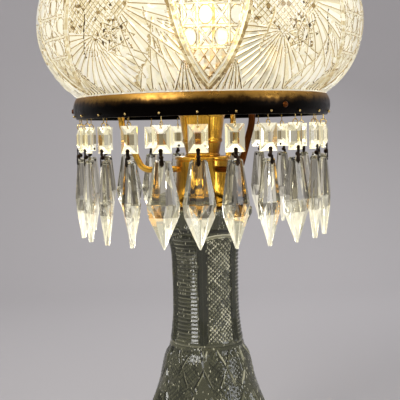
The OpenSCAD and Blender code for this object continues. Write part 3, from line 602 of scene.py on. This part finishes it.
def base_layers(azimuth, way):
    """Cuts of the base: panels of steps and of hatching between flutes, rings, crosses, fans and stars."""
    r, z = base_place(way)
    sector = TURN / PANELS
    stepped = np.floor((azimuth - FLUTE_TURN) / sector) % 2 == 1
    from_flute = (azimuth - FLUTE_TURN) % sector
    x = (from_flute - sector / 2) * r
    edge = np.minimum(from_flute, sector - from_flute) * r
    arch = PANEL_TOP - 4 * (x / (sector / 2 * r)) ** 2
    column = (z > PANEL_FOOT) & (z < arch - 3)
    field = column & (edge > 5.3)
    cross = (z > FAN_TOP - 6) & (z < PANEL_FOOT - 7)
    layers = [single("flute", edge, 3.3, 1.7, (z > PANEL_FOOT - 2) & (z < PANEL_TOP + 4)),
              single("side", edge - 4.5, 1, 0.7, column),
              rows_of("step", (z - PANEL_FOOT) / 3.7, 0.85, field & stepped),
              *crossed("net", x, z, 4.1, 0.6, field & ~stepped),
              single("arch", z - arch, 1.7, 1.3, (edge > 2.5) & ~stepped),
              single("neck", z - arch, 2, 1.3, (edge > 2.5) & stepped),
              rows_of("neck", z / 4.4, 0.8, (z > arch + 2.4) & (z < lip_z - 17) & (edge > 2)),
              single("band", z - PANEL_FOOT + 4, 2, 1.1, z > 0)]
    for lean in (1, -1):
        offset = (x + lean * 0.45 * (z - FAN_TOP - 12) + 12) % 24 - 12
        layers.append(single("mitre", offset, 2, 1.4, cross))
    layers += crossed("low_net", x, z, 4.1, 0.45, cross & (edge > 5))
    down, star_v = fan_way - way, way - star_way
    signed = np.where(from_flute < sector / 2, from_flute, from_flute - sector) * r
    far, angle, star_far = np.hypot(signed, down), np.arctan2(signed, down), np.hypot(x, star_v)
    low = (z < FAN_TOP - 6) & (z > foot_z + 16)
    clear = (star_far > 20) & low
    step = math.radians(9)
    fan = clear & (np.abs(angle) < 4.5 * step)
    layers.append(rows_of("fan", angle / step, np.minimum(2, 0.045 * far), fan & (far > 16)))
    layers += star_layers(x, star_v, 8, 17.5, 0.383 * 17.5, 1.7, 1.3, low)
    layers.append(single("star", star_far - 18.7, 1.3, 1.1, low))
    rim = (z < foot_z + 15) & (z > foot_z + 9)
    layers.append(rows_of("foot", from_flute / (sector / 16) + 0.5, 1.5, rim))
    return layers + crossed("low_net", x, way, 5.4, 0.55, clear & ~fan)


def bitten(azimuth, r, count, deep, curve):
    """Depth of the scallops round an edge: parabolas about the middle between two of count turns."""
    turn = TURN / count
    across = (np.abs((azimuth + turn / 2) % turn - turn / 2) - turn / 2) * r
    return np.maximum(0, deep - across ** 2 / curve)


def make_base(material):
    """The hollow glass base: cut outside with a scalloped lip and foot, smooth inside."""
    heights = np.concatenate([
        np.linspace(foot_z, foot_z + 16, 11), np.linspace(foot_z + 16, FAN_TOP, 64)[1:],
        np.linspace(FAN_TOP, PANEL_FOOT, 28)[1:], np.arange(PANEL_FOOT, PANEL_TOP + 8, 0.925)[1:],
        np.linspace(PANEL_TOP + 8, lip_z - 1.2, 15)])
    ways = np.array([way_at(z) for z in heights])
    turns = np.arange(BASE_COLUMNS) * TURN / BASE_COLUMNS + FLUTE_TURN

    def radius_at(s):
        return base_place(s)[0]

    azimuth, way, depth = cut_grid(base_layers, ways, turns, radius_at, [*range(3), *range(-14, 0)], PANELS)
    r, z = base_place(way)
    slope = np.clip(np.interp(way, base_ways, np.gradient(base_line[:, 0], base_ways)), -1, 1)
    lip, foot = bitten(azimuth, r, 24, 1.6, 11), bitten(azimuth, r, 24, 2.4, 18)
    depth = np.where(z > lip_z - 16, np.maximum(depth, lip), depth)
    depth = np.where(z < foot_z + 14, np.maximum(depth, foot), depth)
    outside = around(r - depth * np.sqrt(1 - slope ** 2), z + depth * slope, azimuth)
    faces = cut_faces(depth)
    middle, height, names, tone, ink, line = facets(
        base_layers, BASE_LOOKS, 0.42, faces, azimuth, way, radius_at, FLUTE_TURN, PANELS)
    # Painted glints: a few random facets outside the flutes lit bright
    sparks = scatter(np.floor(middle * 90), np.floor(height / 1.9)) > 0.98
    tone = np.where(sparks & (names != "flute"), 0.9, tone)

    bore, hollow = column_r - 7, 77
    inside = smooth_line([(bore + 1.5, lip_z), (bore + 1.5, lip_z - 14), (bore, lip_z - 36),
                          (bore, foot_z + 160), (bore + 4, foot_z + 130), (bore + 11, foot_z + 96),
                          (hollow * 0.62, foot_z + 64), (hollow * 0.88, foot_z + 34), (hollow, 12.5)], 2)
    inside = [(lip_r - 2.2, lip_z), *inside, (84.3, 12.5), (84.3, foot_z)]
    cut_piece("cut_base", outside, faces, (tone, ink, line), inside, turns, 0.6, 35,
              (material, "stand", "glass_base", "cut_glass"))


# Shade ring
def make_ring(material):
    """A thin band whose wall is an arc, with a rolled bead along both edges and the ledge inside."""
    r, bulge, wall, roll = 119, 3.1, 0.8, 0.95
    height = RING_TOP - RING_Z
    arc = (height ** 2 / 4 + bulge ** 2) / (2 * bulge)
    centre = r + bulge - arc
    outer = [(centre + math.sqrt(arc ** 2 - (h - height / 2) ** 2), RING_Z + h)
             for h in np.linspace(1.2, height - 1.2, 17)]
    down = [(q - wall, z) for q, z in outer[::-1]]

    def bead(at_z, sign):
        """Half a circle from the outside over the edge to the inside."""
        return [(r - wall / 2 + 0.1 + roll * math.cos(a), at_z + sign * roll * math.sin(a))
                for a in np.linspace(0, math.pi, 7)]

    ledge = [(down[7][0], RING_TOP - 6), (107.4, RING_TOP - 6), (107.2, RING_TOP - 6.3),
             (107.2, RING_TOP - 7.3), (107.4, RING_TOP - 7.5), (down[7][0], RING_TOP - 7.5)]
    outline = outer + bead(RING_TOP - roll, 1) + [p for p in down if p[1] > RING_TOP - 6] + ledge
    outline += [p for p in down if p[1] < RING_TOP - 7.5] + bead(RING_Z + roll, -1)[::-1]
    lathe("band", outline, 288, 50, (material, "stand", "shade_ring", "dark_ring"))


# Brass
def make_cap(material):
    """The brass cap: a skirt that flares in a parabola, a body with a turned groove, and a flange."""
    z, top = CAP_Z, CAP_TOP
    flare = [(26 + 9 * (1 - t) ** 2, z + 3 + 23 * t, 0) for t in np.linspace(0.06, 1, 14)]
    corners = [(5.2, z, 0), (35.2, z, 0.8), (36, z + 0.7, 0.8), (36, z + 2.4, 0.8), (34.6, z + 3.1, 0.5)]
    corners += flare + [(26, top - 4.4, 0), (25.4, top - 3.9, 0.4), (25.4, top - 3.3, 0.4),
                        (26.9, top - 2.6, 0.6), (26.9, top - 0.7, 0.9), (25.2, top, 1.2), (5.2, top, 0)]
    lathe("cap", rounded(corners), 144, 40, (material, "stand", "brass_cap", "polished_brass"))


def make_cup(material):
    """The socket cup: a flared cone with a turned bead low down, a rolled mouth and an open inside."""
    z, top = cup_low[2], cup_high[2]
    corners = [(5.2, z, 0), (17, z, 0.3), (17, z + 1.5, 0.8), (16, z + 2.6, 0.6), (18.1, z + 12.8, 0.5),
               (19.3, z + 13.6, 1), (19.4, z + 15.6, 1), (18.7, z + 16.6, 0.5), (21.6, top - 3, 1),
               (23, top - 1.6, 1), (22.8, top - 0.2, 1), (21.2, top, 0.8), (20.2, top - 2, 0.8),
               (17.3, z + 21, 0.6), (17.3, z + 20, 0.4), (5.2, z + 20, 0)]
    lathe("cup", rounded(corners), 128, 45, (material, "stand", "socket_cup", "polished_brass"))


ARM_AZIMUTH = -85
ARM_R = 3
ARM_END = 120.3
SETS = 24


def arm_path():
    """A rod that leaves the cap level, turns up, runs along a slope, turns upright and then out."""
    hole_z, end_z = CAP_Z + 35, RING_Z + 8
    reach, slope = 51, math.radians(66)
    first, second, third = 11, 25, 9
    rise = end_z - third - hole_z - first * (1 - math.cos(slope)) - second * math.cos(slope)
    run = rise / math.sin(slope)
    upright = reach + first * math.sin(slope) + run * math.cos(slope) + second * (1 - math.sin(slope))

    def bend(centre, radius, low, high, count, side):
        return [(centre[0] + side * radius * math.sin(h), centre[1] - side * radius * math.cos(h), h)
                for h in np.linspace(low, high, count)]

    path = [(18, hole_z, 0), (18, hole_z, 0), (18.4, hole_z, 0)]
    path += bend((reach, hole_z + first), first, 0, slope, 9, 1)
    path += bend((upright - second, end_z - third), second, slope, math.pi / 2, 6, 1)
    path += bend((upright + third, end_z - third), third, math.pi / 2, 0, 9, -1)
    return path + [(ARM_END - 0.4, end_z, 0), (ARM_END, end_z, 0), (ARM_END, end_z, 0)]


def make_arms(finishes):
    """Three bent rods, each turned to its azimuth, in brass with painted light or with painted shade."""
    sides = 24
    rows = tube(arm_path(), ARM_R, sides)
    faces = grid_faces(len(rows), sides, (0, len(rows) - 1))
    for k, (side, material) in enumerate(zip(("left", "front", "rear"), finishes)):
        a = math.radians(ARM_AZIMUTH + 120 * k)
        turn = np.array([[math.cos(a), -math.sin(a), 0], [math.sin(a), math.cos(a), 0], [0, 0, 1]])
        make_piece("rod_" + side, rows @ turn.T, faces, 50, (material, "stand", "arm_" + side, "aged_brass"))


# Bulb and lampholder
def make_bulb(material):
    """The frosted envelope: a neck that swells in an S curve to a ball, with a thin wall."""
    neck, ball, top = 12, bulb_high[0], bulb_high[2]
    centre, start = top - ball, bulb_base_low[2] + 25
    swell = [(neck + (ball - neck) * t * t * (3 - 2 * t), start + (centre - start) * t)
             for t in np.linspace(0, 1, 18)]
    cap = [(ball * math.cos(a), centre + ball * math.sin(a)) for a in np.linspace(0, math.pi / 2, 20)[1:-1]]
    outer = [(neck, start - 4)] + swell + cap + [(0, top)]
    inner = [(max(0, r - 0.8), h - 0.8 * (h > centre)) for r, h in outer[::-1]]
    lathe("envelope", outer + inner, 96, 60, (material, "bulb", "bulb_glass", "bulb_glass"))


def threaded(name, radius, low, high, depth, wall, place):
    """A thin sleeve with a rolled thread: its radius follows a cosine of height over pitch less azimuth."""
    columns, pitch = 96, 3.6
    z = np.linspace(low, high, int((high - low) / pitch * 12))[:, None]
    azimuth = np.arange(columns) * TURN / columns
    fade = np.clip(np.minimum(z - low, high - z) / 1.5, 0, 1)
    r = radius - depth + depth * fade * (0.5 + 0.5 * np.cos(TURN * z / pitch - azimuth))
    rows = np.concatenate([around(r, z, azimuth), around(r - wall, z, azimuth)[::-1]])
    make_piece(name, rows, grid_faces(len(rows), columns, closed=True), 60, place)


def make_bulb_base(metal, dark):
    """The bulb's screw base: a threaded sleeve, a dark insulator and a solder button."""
    z, r = bulb_base_low[2], 13.2
    place = (metal, "bulb", "bulb_base", "nickel")
    threaded("screw_base", r, z + 6, bulb_base_high[2], 0.9, 0.5, place)
    insulator = [(0, z + 1.4, 0), (4.6, z + 1.6, 0.5), (r - 1.4, z + 4.4, 1), (r - 1.5, z + 7, 0),
                 (0, z + 7, 0)]
    lathe("insulator", rounded(insulator), 64, 40, (dark,) + place[1:])
    lathe("button", rounded([(0, z, 0), (3, z, 1), (3.9, z + 1.6, 0.4), (0, z + 1.6, 0)]), 48, 40, place)


def make_felt(material):
    """The felt pad: a disc with a soft round edge."""
    r, top = felt_high[0], felt_high[2]
    corners = [(0, 0, 0), (r * 0.5, 0, 0), (r - 0.7, 0, 0.6), (r, 0.6, 0.5), (r, top - 0.6, 0.5),
               (r - 0.7, top, 0.5), (0, top, 0)]
    lathe("pad", rounded(corners), 180, 40, (material, "stand", "felt_pad", "felt"))


# Pieces made from copies of the CAD nodes
def prism_tones(part, faces, seed):
    """How light each facet of a bead or a spear is painted. Those that look down get painted light, as if
    they caught the lit shade above, the bead's table gets an olive painted reflection, and the spear's
    shoulders are clear or painted grey shade by turns."""
    out = sum((f.calc_center_median() for f in faces), Vector()) / len(faces)
    out = Vector((out.x, out.y, 0)).normalized()
    heights = [f.calc_center_median().z for f in faces]
    low, high = min(heights), max(heights)
    tones = []
    for k, (face, z) in enumerate(zip(faces, heights)):
        jump = float(scatter(k, seed))
        up, level = face.normal.z, (z - low) / (high - low + 1e-9)
        if part == "bead":
            table = 0.2 if abs(face.normal.dot(out)) > 0.95 else 0.62
            tone = (0.97 if up < -0.2 else 0.75 if up > 0.2 else table) + 0.2 * (jump - 0.5)
        elif level < 0.36:
            tone = 0.72 + 0.28 * jump
        else:
            tone = 0.2 + 0.7 * jump if level < 0.5 else 0.12 + 0.55 * jump
        tones.append(tone)
    return tones


def refined(node, names, materials, slot, bevel=0.25, angle=25, cut=False):
    """Copies a node's mesh, merges it, takes it apart into its solids from the top down, and gives each
    its name, its material and a small bevel along its sharp edges. Cut glass has flat facets whose tones
    are painted light and shade, and the rest is smooth."""
    source = frame["nodes"][node]
    whole = bmesh.new()
    whole.from_mesh(source.data)
    bmesh.ops.remove_doubles(whole, verts=whole.verts, dist=1e-6)
    bmesh.ops.dissolve_limit(whole, angle_limit=math.radians(1.5), verts=whole.verts, edges=whole.edges)
    solids, seen = [], set()
    for start in whole.verts:
        if start in seen:
            continue
        solid, ends = {start}, [start]
        while ends:
            for edge in ends.pop().link_edges:
                for v in edge.verts:
                    if v not in solid:
                        solid.add(v)
                        ends.append(v)
        seen |= solid
        solids.append(solid)
    solids.sort(key=lambda s: -sum(v.co.z for v in s) / len(s))
    if len(names) == 1:
        solids = [set().union(*solids)]
    for name, solid, material in zip(names, solids, materials):
        points = [v for v in whole.verts if v in solid]
        numbers = {v: k for k, v in enumerate(points)}
        own = [f for f in whole.faces if f.verts[0] in solid]
        mesh = bpy.data.meshes.new(name)
        mesh.from_pydata([v.co[:] for v in points], [], [[numbers[v] for v in f.verts] for f in own])
        mesh.polygons.foreach_set("use_smooth", [not cut] * len(own))
        if cut:
            tones = prism_tones(name.split("_")[0], own, int(node.split("_")[-1]))
            mesh.attributes.new("tone", "FLOAT", "FACE").data.foreach_set("value", tones)
        else:
            mesh.set_sharp_from_angle(angle=math.radians(angle))
        stand_in(name, mesh, (material, source["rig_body"], node, slot), bevel, angle)
    whole.free()


# Materials
def put(tree, kind, feeds=None, **settings):
    """Adds a node, sets its properties, and gives each named input a number, a colour or a link."""
    node = tree.nodes.new(kind)
    for key, value in settings.items():
        setattr(node, key, value)
    for key, value in (feeds or {}).items():
        if isinstance(value, bpy.types.NodeSocket):
            tree.links.new(value, node.inputs[key])
        else:
            node.inputs[key].default_value = value
    return node


def group(name, inputs, outputs):
    """A new shader node group of plain numbers. inputs are (name, default), and outputs are names."""
    tree = bpy.data.node_groups.new(name, "ShaderNodeTree")
    for key, value in inputs:
        tree.interface.new_socket(key, in_out="INPUT", socket_type="NodeSocketFloat").default_value = value
    for key in outputs:
        tree.interface.new_socket(key, in_out="OUTPUT", socket_type="NodeSocketFloat")
    return tree, tree.nodes.new("NodeGroupInput"), tree.nodes.new("NodeGroupOutput")


def on_object(tree, axis=None):
    """Object coordinates, or one of them."""
    place = put(tree, "ShaderNodeTexCoord").outputs["Object"]
    return put(tree, "ShaderNodeSeparateXYZ", {"Vector": place}).outputs[axis] if axis else place


def mapped(tree, value, low=0.0, high=1.0, start=0.0, end=1.0, kind="LINEAR"):
    """A value from low to high as one from start to end."""
    feeds = {"Value": value, "From Min": low, "From Max": high, "To Min": start, "To Max": end}
    return put(tree, "ShaderNodeMapRange", feeds, interpolation_type=kind).outputs["Result"]


def math_node(tree, operation, *values, **settings):
    """The result of an operation on numbers or links."""
    return put(tree, "ShaderNodeMath", dict(enumerate(values)), operation=operation, **settings).outputs[0]


def feed(tree, node, **links):
    """Links outputs to a node's inputs, by name."""
    for key, output in links.items():
        tree.links.new(output, node.inputs[key.replace("_", " ")])


def make_patina():
    """Blotches of tarnish and fine rubbed marks, as a mask from 0 to 1 and a height."""
    tree, given, out = group("patina", [("Scale", 60.0), ("Amount", 0.5)], ["Mask", "Marks"])
    place = on_object(tree)
    cloud = put(tree, "ShaderNodeTexNoise", {"Vector": place, "Scale": given.outputs["Scale"], "Detail": 6,
                                             "Roughness": 0.62})
    low = math_node(tree, "SUBTRACT", 0.75, given.outputs["Amount"])
    marks = put(tree, "ShaderNodeTexNoise", {"Vector": place, "Scale": 1400, "Detail": 3})
    feed(tree, out, Mask=mapped(tree, cloud.outputs["Fac"], low, 0.8, kind="SMOOTHSTEP"),
         Marks=marks.outputs["Fac"])
    return tree


def make_smears():
    """Wiped dust on glass and glaze: a roughness that drifts between two values."""
    tree, given, out = group("smears", [("Scale", 40.0), ("Clean", 0.02), ("Dusty", 0.12)], ["Roughness"])
    cloud = put(tree, "ShaderNodeTexNoise", {"Vector": on_object(tree), "Scale": given.outputs["Scale"],
                                             "Detail": 4})
    feed(tree, out, Roughness=mapped(tree, cloud.outputs["Fac"], 0.4, 0.75, given.outputs["Clean"],
                                     given.outputs["Dusty"]))
    return tree


def make_facet_light():
    """Painted light and shade of a cut surface: each facet's painted tone, less its line shade within one
    half width of its line.
    """
    tree, given, out = group("facet_light", [("Softness", 0.5)], ["Light"])
    tone, ink, line = (read(tree, name) for name in ("tone", "ink", "line"))
    drawn = mapped(tree, math_node(tree, "ABSOLUTE", line), 1.0, given.outputs["Softness"], kind="SMOOTHSTEP")
    dark = math_node(tree, "MULTIPLY", drawn, ink)
    feed(tree, out, Light=math_node(tree, "SUBTRACT", tone, dark, use_clamp=True))
    return tree


def read(tree, name):
    """Numbers kept with the mesh, by name."""
    return put(tree, "ShaderNodeAttribute", attribute_name=name).outputs["Fac"]


patina = make_patina()
smears = make_smears()
facet_light = make_facet_light()


def use(tree, group_tree, **values):
    """Places a node group in a material with its own values."""
    node = tree.nodes.new("ShaderNodeGroup")
    node.node_tree = group_tree
    for key, value in values.items():
        node.inputs[key.capitalize()].default_value = value
    return node


def new_material(name, **constants):
    """A material with its Principled shader, whose plain sockets are set by name."""
    material = bpy.data.materials.new(name)
    material.use_nodes = True
    tree = material.node_tree
    shader = tree.nodes["Principled BSDF"]
    for key, value in constants.items():
        shader.inputs[key.replace("_", " ")].default_value = value
    return material, tree, shader


def ramp(tree, factor, stops):
    """A colour ramp through (place, levels) stops, with levels of red, green and blue from 0 to 255."""
    node = put(tree, "ShaderNodeValToRGB", {"Fac": factor})
    while len(node.color_ramp.elements) < len(stops):
        node.color_ramp.elements.new(1)
    for element, (place, levels) in zip(node.color_ramp.elements, stops):
        element.position = place
        element.color = (*srgb(*levels), 1)
    return node.outputs["Color"]


def srgb(*levels):
    """Linear colour of levels from 0 to 255."""
    return tuple((v / 255 / 12.92) if v < 10.3 else ((v / 255 + 0.055) / 1.055) ** 2.4 for v in levels)


def grain(tree, shader, stain, strength, distance):
    """Makes fine bumps of the patina's marks."""
    bump = put(tree, "ShaderNodeBump", {"Height": stain.outputs["Marks"], "Strength": strength,
                                        "Distance": distance})
    feed(tree, shader, Normal=bump.outputs["Normal"])


def metal(name, stops, scale, amount, polish, worn, bump=0.05, place=None):
    """Metal that blotches of tarnish dull. Its colour runs through stops with the tarnish, or with what
    place makes of it."""
    material, tree, shader = new_material(name, Metallic=1)
    stain = use(tree, patina, scale=scale, amount=amount)
    mask = stain.outputs["Mask"]
    feed(tree, shader, Base_Color=ramp(tree, place(tree, mask) if place else mask, stops),
         Roughness=mapped(tree, mask, start=polish, end=worn))
    grain(tree, shader, stain, bump, 0.0002)
    return material


def painted_shoulder_glow(tree, mask):
    """From 0 to 1 up the ring's shoulder: a painted reflection of the lit shade in gold over the painted
    shade of the dark band below, uneven with tarnish.
    """
    uneven = math_node(tree, "MULTIPLY_ADD", mask, -0.004, on_object(tree, "Z"))
    return mapped(tree, uneven, (RING_TOP - 12) * MM, (RING_TOP - 2) * MM, kind="SMOOTHSTEP")


def wiped(tree, scale, clean, dusty):
    """Roughness of glass or glaze between a clean and a dusty value."""
    return use(tree, smears, scale=scale, clean=clean, dusty=dusty).outputs[0]


def facet_glass(name, light_of, stops, glow, strength, transmission=1.0, smear=(90, 0, 0.04)):
    """Glass whose facets are painted dark, clear or lit, each by its own share of painted light from
    light_of, which also sets a painted glow that the glass gives off.
    """
    material, tree, shader = new_material(name, IOR=1.53, Transmission_Weight=transmission,
                                          Emission_Strength=strength)
    light = light_of(tree)
    feed(tree, shader, Base_Color=ramp(tree, light, stops), Emission_Color=ramp(tree, light, glow),
         Roughness=wiped(tree, *smear))
    return material


def cut_light(tree):
    """Light of a surface with drawn cuts."""
    return use(tree, facet_light, softness=0.4).outputs["Light"]


def prism_light(tree):
    """Light of plain facets."""
    return read(tree, "tone")


def clear_glass(name, colour):
    """Clear glass with a few wiped smears."""
    material, tree, shader = new_material(name, IOR=1.53, Transmission_Weight=1, Base_Color=(*colour, 1))
    feed(tree, shader, Roughness=wiped(tree, 90, 0, 0.04))
    return material


def frosted_bulb():
    """Frosted bulb glass, lit: brightest at the ball's middle height."""
    material, tree, shader = new_material("frosted_glass", IOR=1.45, Transmission_Weight=0.3,
                                          Emission_Strength=1.9, Base_Color=(*srgb(245, 236, 215), 1))
    lit = mapped(tree, on_object(tree, "Z"), (bulb_low[2] + 8) * MM, (bulb_high[2] - 30) * MM,
                 kind="SMOOTHSTEP")
    feed(tree, shader, Emission_Color=ramp(tree, lit, [(0, (120, 80, 40)), (1, (255, 236, 190))]),
         Roughness=wiped(tree, 120, 0.4, 0.55))
    return material


def matt(name, light, dark, scale, clean, dusty, bump, **constants):
    """A matt or glazed body whose colour drifts between two near shades, with a fine grain."""
    material, tree, shader = new_material(name, **constants)
    stain = use(tree, patina, scale=scale, amount=0.4)
    feed(tree, shader, Base_Color=ramp(tree, stain.outputs["Mask"], [(0, light), (1, dark)]),
         Roughness=wiped(tree, 80, clean, dusty))
    grain(tree, shader, stain, bump, 0.0004)
    return material


# Each metal's name, bright and tarnished colour, scale and amount of tarnish, roughness of both, and grain
METALS = {
    "polished": ("polished_brass", (242, 188, 72), (140, 78, 18), 26, 0.42, 0.1, 0.28, 0.05),
    # bright is brass with painted light; aged is painted shade on the front arm, an aged finish on screws
    "bright": ("rubbed_brass", (250, 200, 90), (150, 96, 30), 48, 0.4, 0.14, 0.32, 0.1),
    "aged_shaded": ("aged_brass", (120, 66, 26), (44, 24, 12), 48, 0.62, 0.2, 0.45, 0.1),
    "brass": ("machined_brass", (226, 182, 92), (140, 96, 40), 50, 0.4, 0.18, 0.35, 0.05),
    "steel": ("pressed_steel", (170, 170, 168), (96, 90, 84), 30, 0.4, 0.3, 0.5, 0.05),
    "nickel": ("drawn_nickel", (214, 210, 200), (140, 132, 118), 60, 0.35, 0.2, 0.4, 0.05),
    "wire": ("pin_brass", (250, 222, 150), (110, 70, 28), 300, 0.45, 0.12, 0.3, 0.05),
    # The links are brass painted dark: painted shade
    "link": ("link_bronze", (52, 40, 30), (20, 16, 14), 200, 0.5, 0.3, 0.5, 0.05),
    "filament": ("tungsten", (250, 210, 150), (180, 140, 90), 100, 0.4, 0.3, 0.4, 0.05)}
# Each matt body's name, light and dark colour, scale of the drift, roughness clean and dusty, and grain
BODIES = {
    "key": ("black_moulding", (30, 28, 27), (14, 13, 13), 60, 0.25, 0.42, 0.08),
    "fibre": ("pressed_fibre", (46, 40, 36), (24, 21, 19), 200, 0.7, 0.85, 0.4),
    "porcelain": ("porcelain", (236, 233, 224), (214, 208, 196), 40, 0.12, 0.25, 0.05),
    "gasket": ("gasket_cork", (110, 74, 46), (52, 34, 22), 500, 0.85, 0.95, 0.6)}


def make_materials():
    """Every finish on the lamp, by name."""
    # Painted light and shade of the glass: the shade's stops serve as its colour and as a painted glow of the
    # bulb's light through its cuts; the base's dark stops are painted shade and its glow painted glints; the
    # prisms' stops and glow are painted light from the lit shade and painted dark refractions
    shade_stops = [(0, (30, 18, 8)), (0.3, (138, 108, 60)), (0.6, (212, 194, 146)), (0.85, (244, 239, 216)),
                   (1, (255, 254, 248))]
    base_stops = [(0, (20, 21, 14)), (0.3, (70, 71, 55)), (0.55, (128, 127, 99)), (0.8, (208, 205, 170)),
                  (1, (252, 247, 220))]
    base_glow = [(0, (0, 0, 0)), (0.75, (30, 31, 26)), (1, (210, 204, 176))]
    spear_stops = [(0, (70, 63, 50)), (0.3, (168, 163, 146)), (0.5, (246, 244, 234))]
    bead_stops = [(0, (150, 124, 66)), (0.3, (214, 200, 150)), (0.6, (252, 247, 228))]
    prism_glow = [(0.5, (0, 0, 0)), (0.7, (150, 144, 118)), (1, (255, 250, 226))]
    # The ring's band is near-black painted shade, rising to a gold painted reflection on its shoulder
    ring_stops = [(0, (12, 9, 7)), (0.4, (66, 46, 22)), (1, (176, 132, 62))]
    finish = {key: metal(name, [(0, bright), (1, dark)], *rest)
              for key, (name, bright, dark, *rest) in METALS.items()}
    finish.update({key: matt(*row) for key, row in BODIES.items()})
    finish.update({
        "shade": facet_glass("shade_crystal", cut_light, shade_stops, shade_stops, 0.19, 0.7,
                             (60, 0.03, 0.1)),
        "base": facet_glass("base_crystal", cut_light, base_stops, base_glow, 0.5, 0.55, (60, 0.02, 0.08)),
        "spear": facet_glass("spear_crystal", prism_light, spear_stops, prism_glow, 0.36),
        "bead": facet_glass("bead_crystal", prism_light, bead_stops, prism_glow, 0.5),
        "stem": clear_glass("stem_glass", srgb(230, 240, 232)),
        "ring": metal("ring_patina_and_painted_light", ring_stops, 90, 0.45, 0.26, 0.5, 0.1, painted_shoulder_glow),
        "bulb": frosted_bulb(),
        "felt": matt("green_felt", (42, 74, 48), (24, 46, 30), 700, 0.95, 1.0, 0.9, Sheen_Weight=0.4)})
    return finish


# Stage
FLOOR = srgb(190, 187, 190)
FLOOR_WIDTH = 4.0
SWEEP_RADIUS = 0.6
BACK_Y = 1.5
FRONT_Y = -2.2
BACK_HEIGHT = 2.4


def make_stage():
    """A pale floor that sweeps up behind the lamp in a quarter circle, and a soft grey world."""
    turn = np.linspace(0, math.pi / 2, 20)
    line = [(FRONT_Y, 0)] + [(BACK_Y - SWEEP_RADIUS + SWEEP_RADIUS * math.sin(a),
                              SWEEP_RADIUS * (1 - math.cos(a))) for a in turn] + [(BACK_Y, BACK_HEIGHT)]
    points = [(x, y, z) for y, z in line for x in (-FLOOR_WIDTH / 2, FLOOR_WIDTH / 2)]
    faces = [(2 * k, 2 * k + 1, 2 * k + 3, 2 * k + 2) for k in range(len(line) - 1)]
    mesh = bpy.data.meshes.new("floor")
    mesh.from_pydata(points, [], faces)
    mesh.polygons.foreach_set("use_smooth", [True] * len(faces))
    floor = add("floor", mesh)
    material, tree, shader = new_material("backdrop", Roughness=0.9, Base_Color=(*FLOOR, 1))
    mesh.materials.append(material)
    world = bpy.data.worlds.new("studio")
    world.use_nodes = True
    sky = world.node_tree.nodes["Background"]
    sky.inputs["Color"].default_value = (0.92, 0.9, 0.88, 1)
    sky.inputs["Strength"].default_value = 0.42
    bpy.context.scene.world = world


def make_lights():
    """Soft boxes turned to the lamp: a large key from the front left, a weaker fill from the right, and a
    strip high behind."""
    middle = Vector((0, 0, 0.3))
    for name, place, size, power, colour in (
            ("key", (-0.9, -1.0, 1.25), (0.8, 0.8), 16, (1, 0.99, 0.97)),
            ("fill", (1.2, -0.7, 0.6), (0.5, 1.0), 6, (0.95, 0.97, 1)),
            ("rim", (0.4, 1.0, 1.1), (0.9, 0.3), 6, (1, 1, 1))):
        data = bpy.data.lights.new(name, "AREA")
        data.shape = "RECTANGLE"
        data.size, data.size_y = size
        data.energy = power
        data.color = colour
        light = add(name, data)
        light.location = place
        light.rotation_euler = (middle - Vector(place)).to_track_quat("-Z", "Y").to_euler()


def paint(node, material):
    """Gives a CAD node that stays in view its finish."""
    data = frame["nodes"][node].data
    data.materials.clear()
    data.materials.append(material)


def build():
    """Makes the lamp's pieces in the order that it goes together."""
    finish = make_materials()
    brass = finish["brass"]
    make_felt(finish["felt"])
    make_base(finish["base"])
    make_cap(finish["polished"])
    make_cup(finish["polished"])
    # Painted light and shade: the left and rear arms are lit copies of the brass, the front a shaded one
    make_arms([finish["bright"], finish["aged_shaded"], finish["bright"]])
    make_ring(finish["ring"])
    glass = (finish["bead"], finish["link"], finish["spear"])
    for k in range(SETS):
        number = f"{k + 1:02d}"
        names = ["bead_" + number, "link_" + number, "spear_" + number]
        refined("prism_" + number, names, glass, "prism_glass", angle=14, cut=True)
    for node, name, material, slot, bevel, angle in (
            ("prism_pins", "pins", finish["wire"], "pin_wire", 0, 40),
            ("arm_screws", "screws", finish["aged_shaded"], "aged_brass", 0.12, 25),
            ("outlet_bush", "bush", brass, "brass", 0.3, 25),
            ("holder_cap", "holder_cover", brass, "brass", 0.4, 25),
            ("holder_shell", "holder_sleeve", brass, "brass", 0.2, 25),
            ("switch_key", "key", finish["key"], "black_key", 0.4, 25)):
        refined(node, [name], [material], slot, bevel, angle)
    threaded("thread_shell", screw_high[0], screw_low[2], screw_high[2], 0.7, 0.3,
             (brass, "stand", "screw_shell", "brass"))
    make_bulb_base(finish["nickel"], finish["fibre"])
    make_bulb(finish["bulb"])
    make_shade(finish["shade"])
    for node, key in (("base_plate", "steel"), ("base_washer", "steel"), ("base_nut", "brass"),
                      ("lamp_pipe", "brass"), ("pipe_locknut", "brass"), ("cap_gasket", "gasket"),
                      ("holder_liner", "fibre"), ("holder_core", "porcelain"), ("centre_contact", "brass"),
                      ("bulb_stem", "stem"), ("bulb_filament", "filament")):
        paint(node, finish[key])


make_camera()
make_stage()
make_lights()
build()
bpy.context.scene.view_settings.view_transform = "Standard"
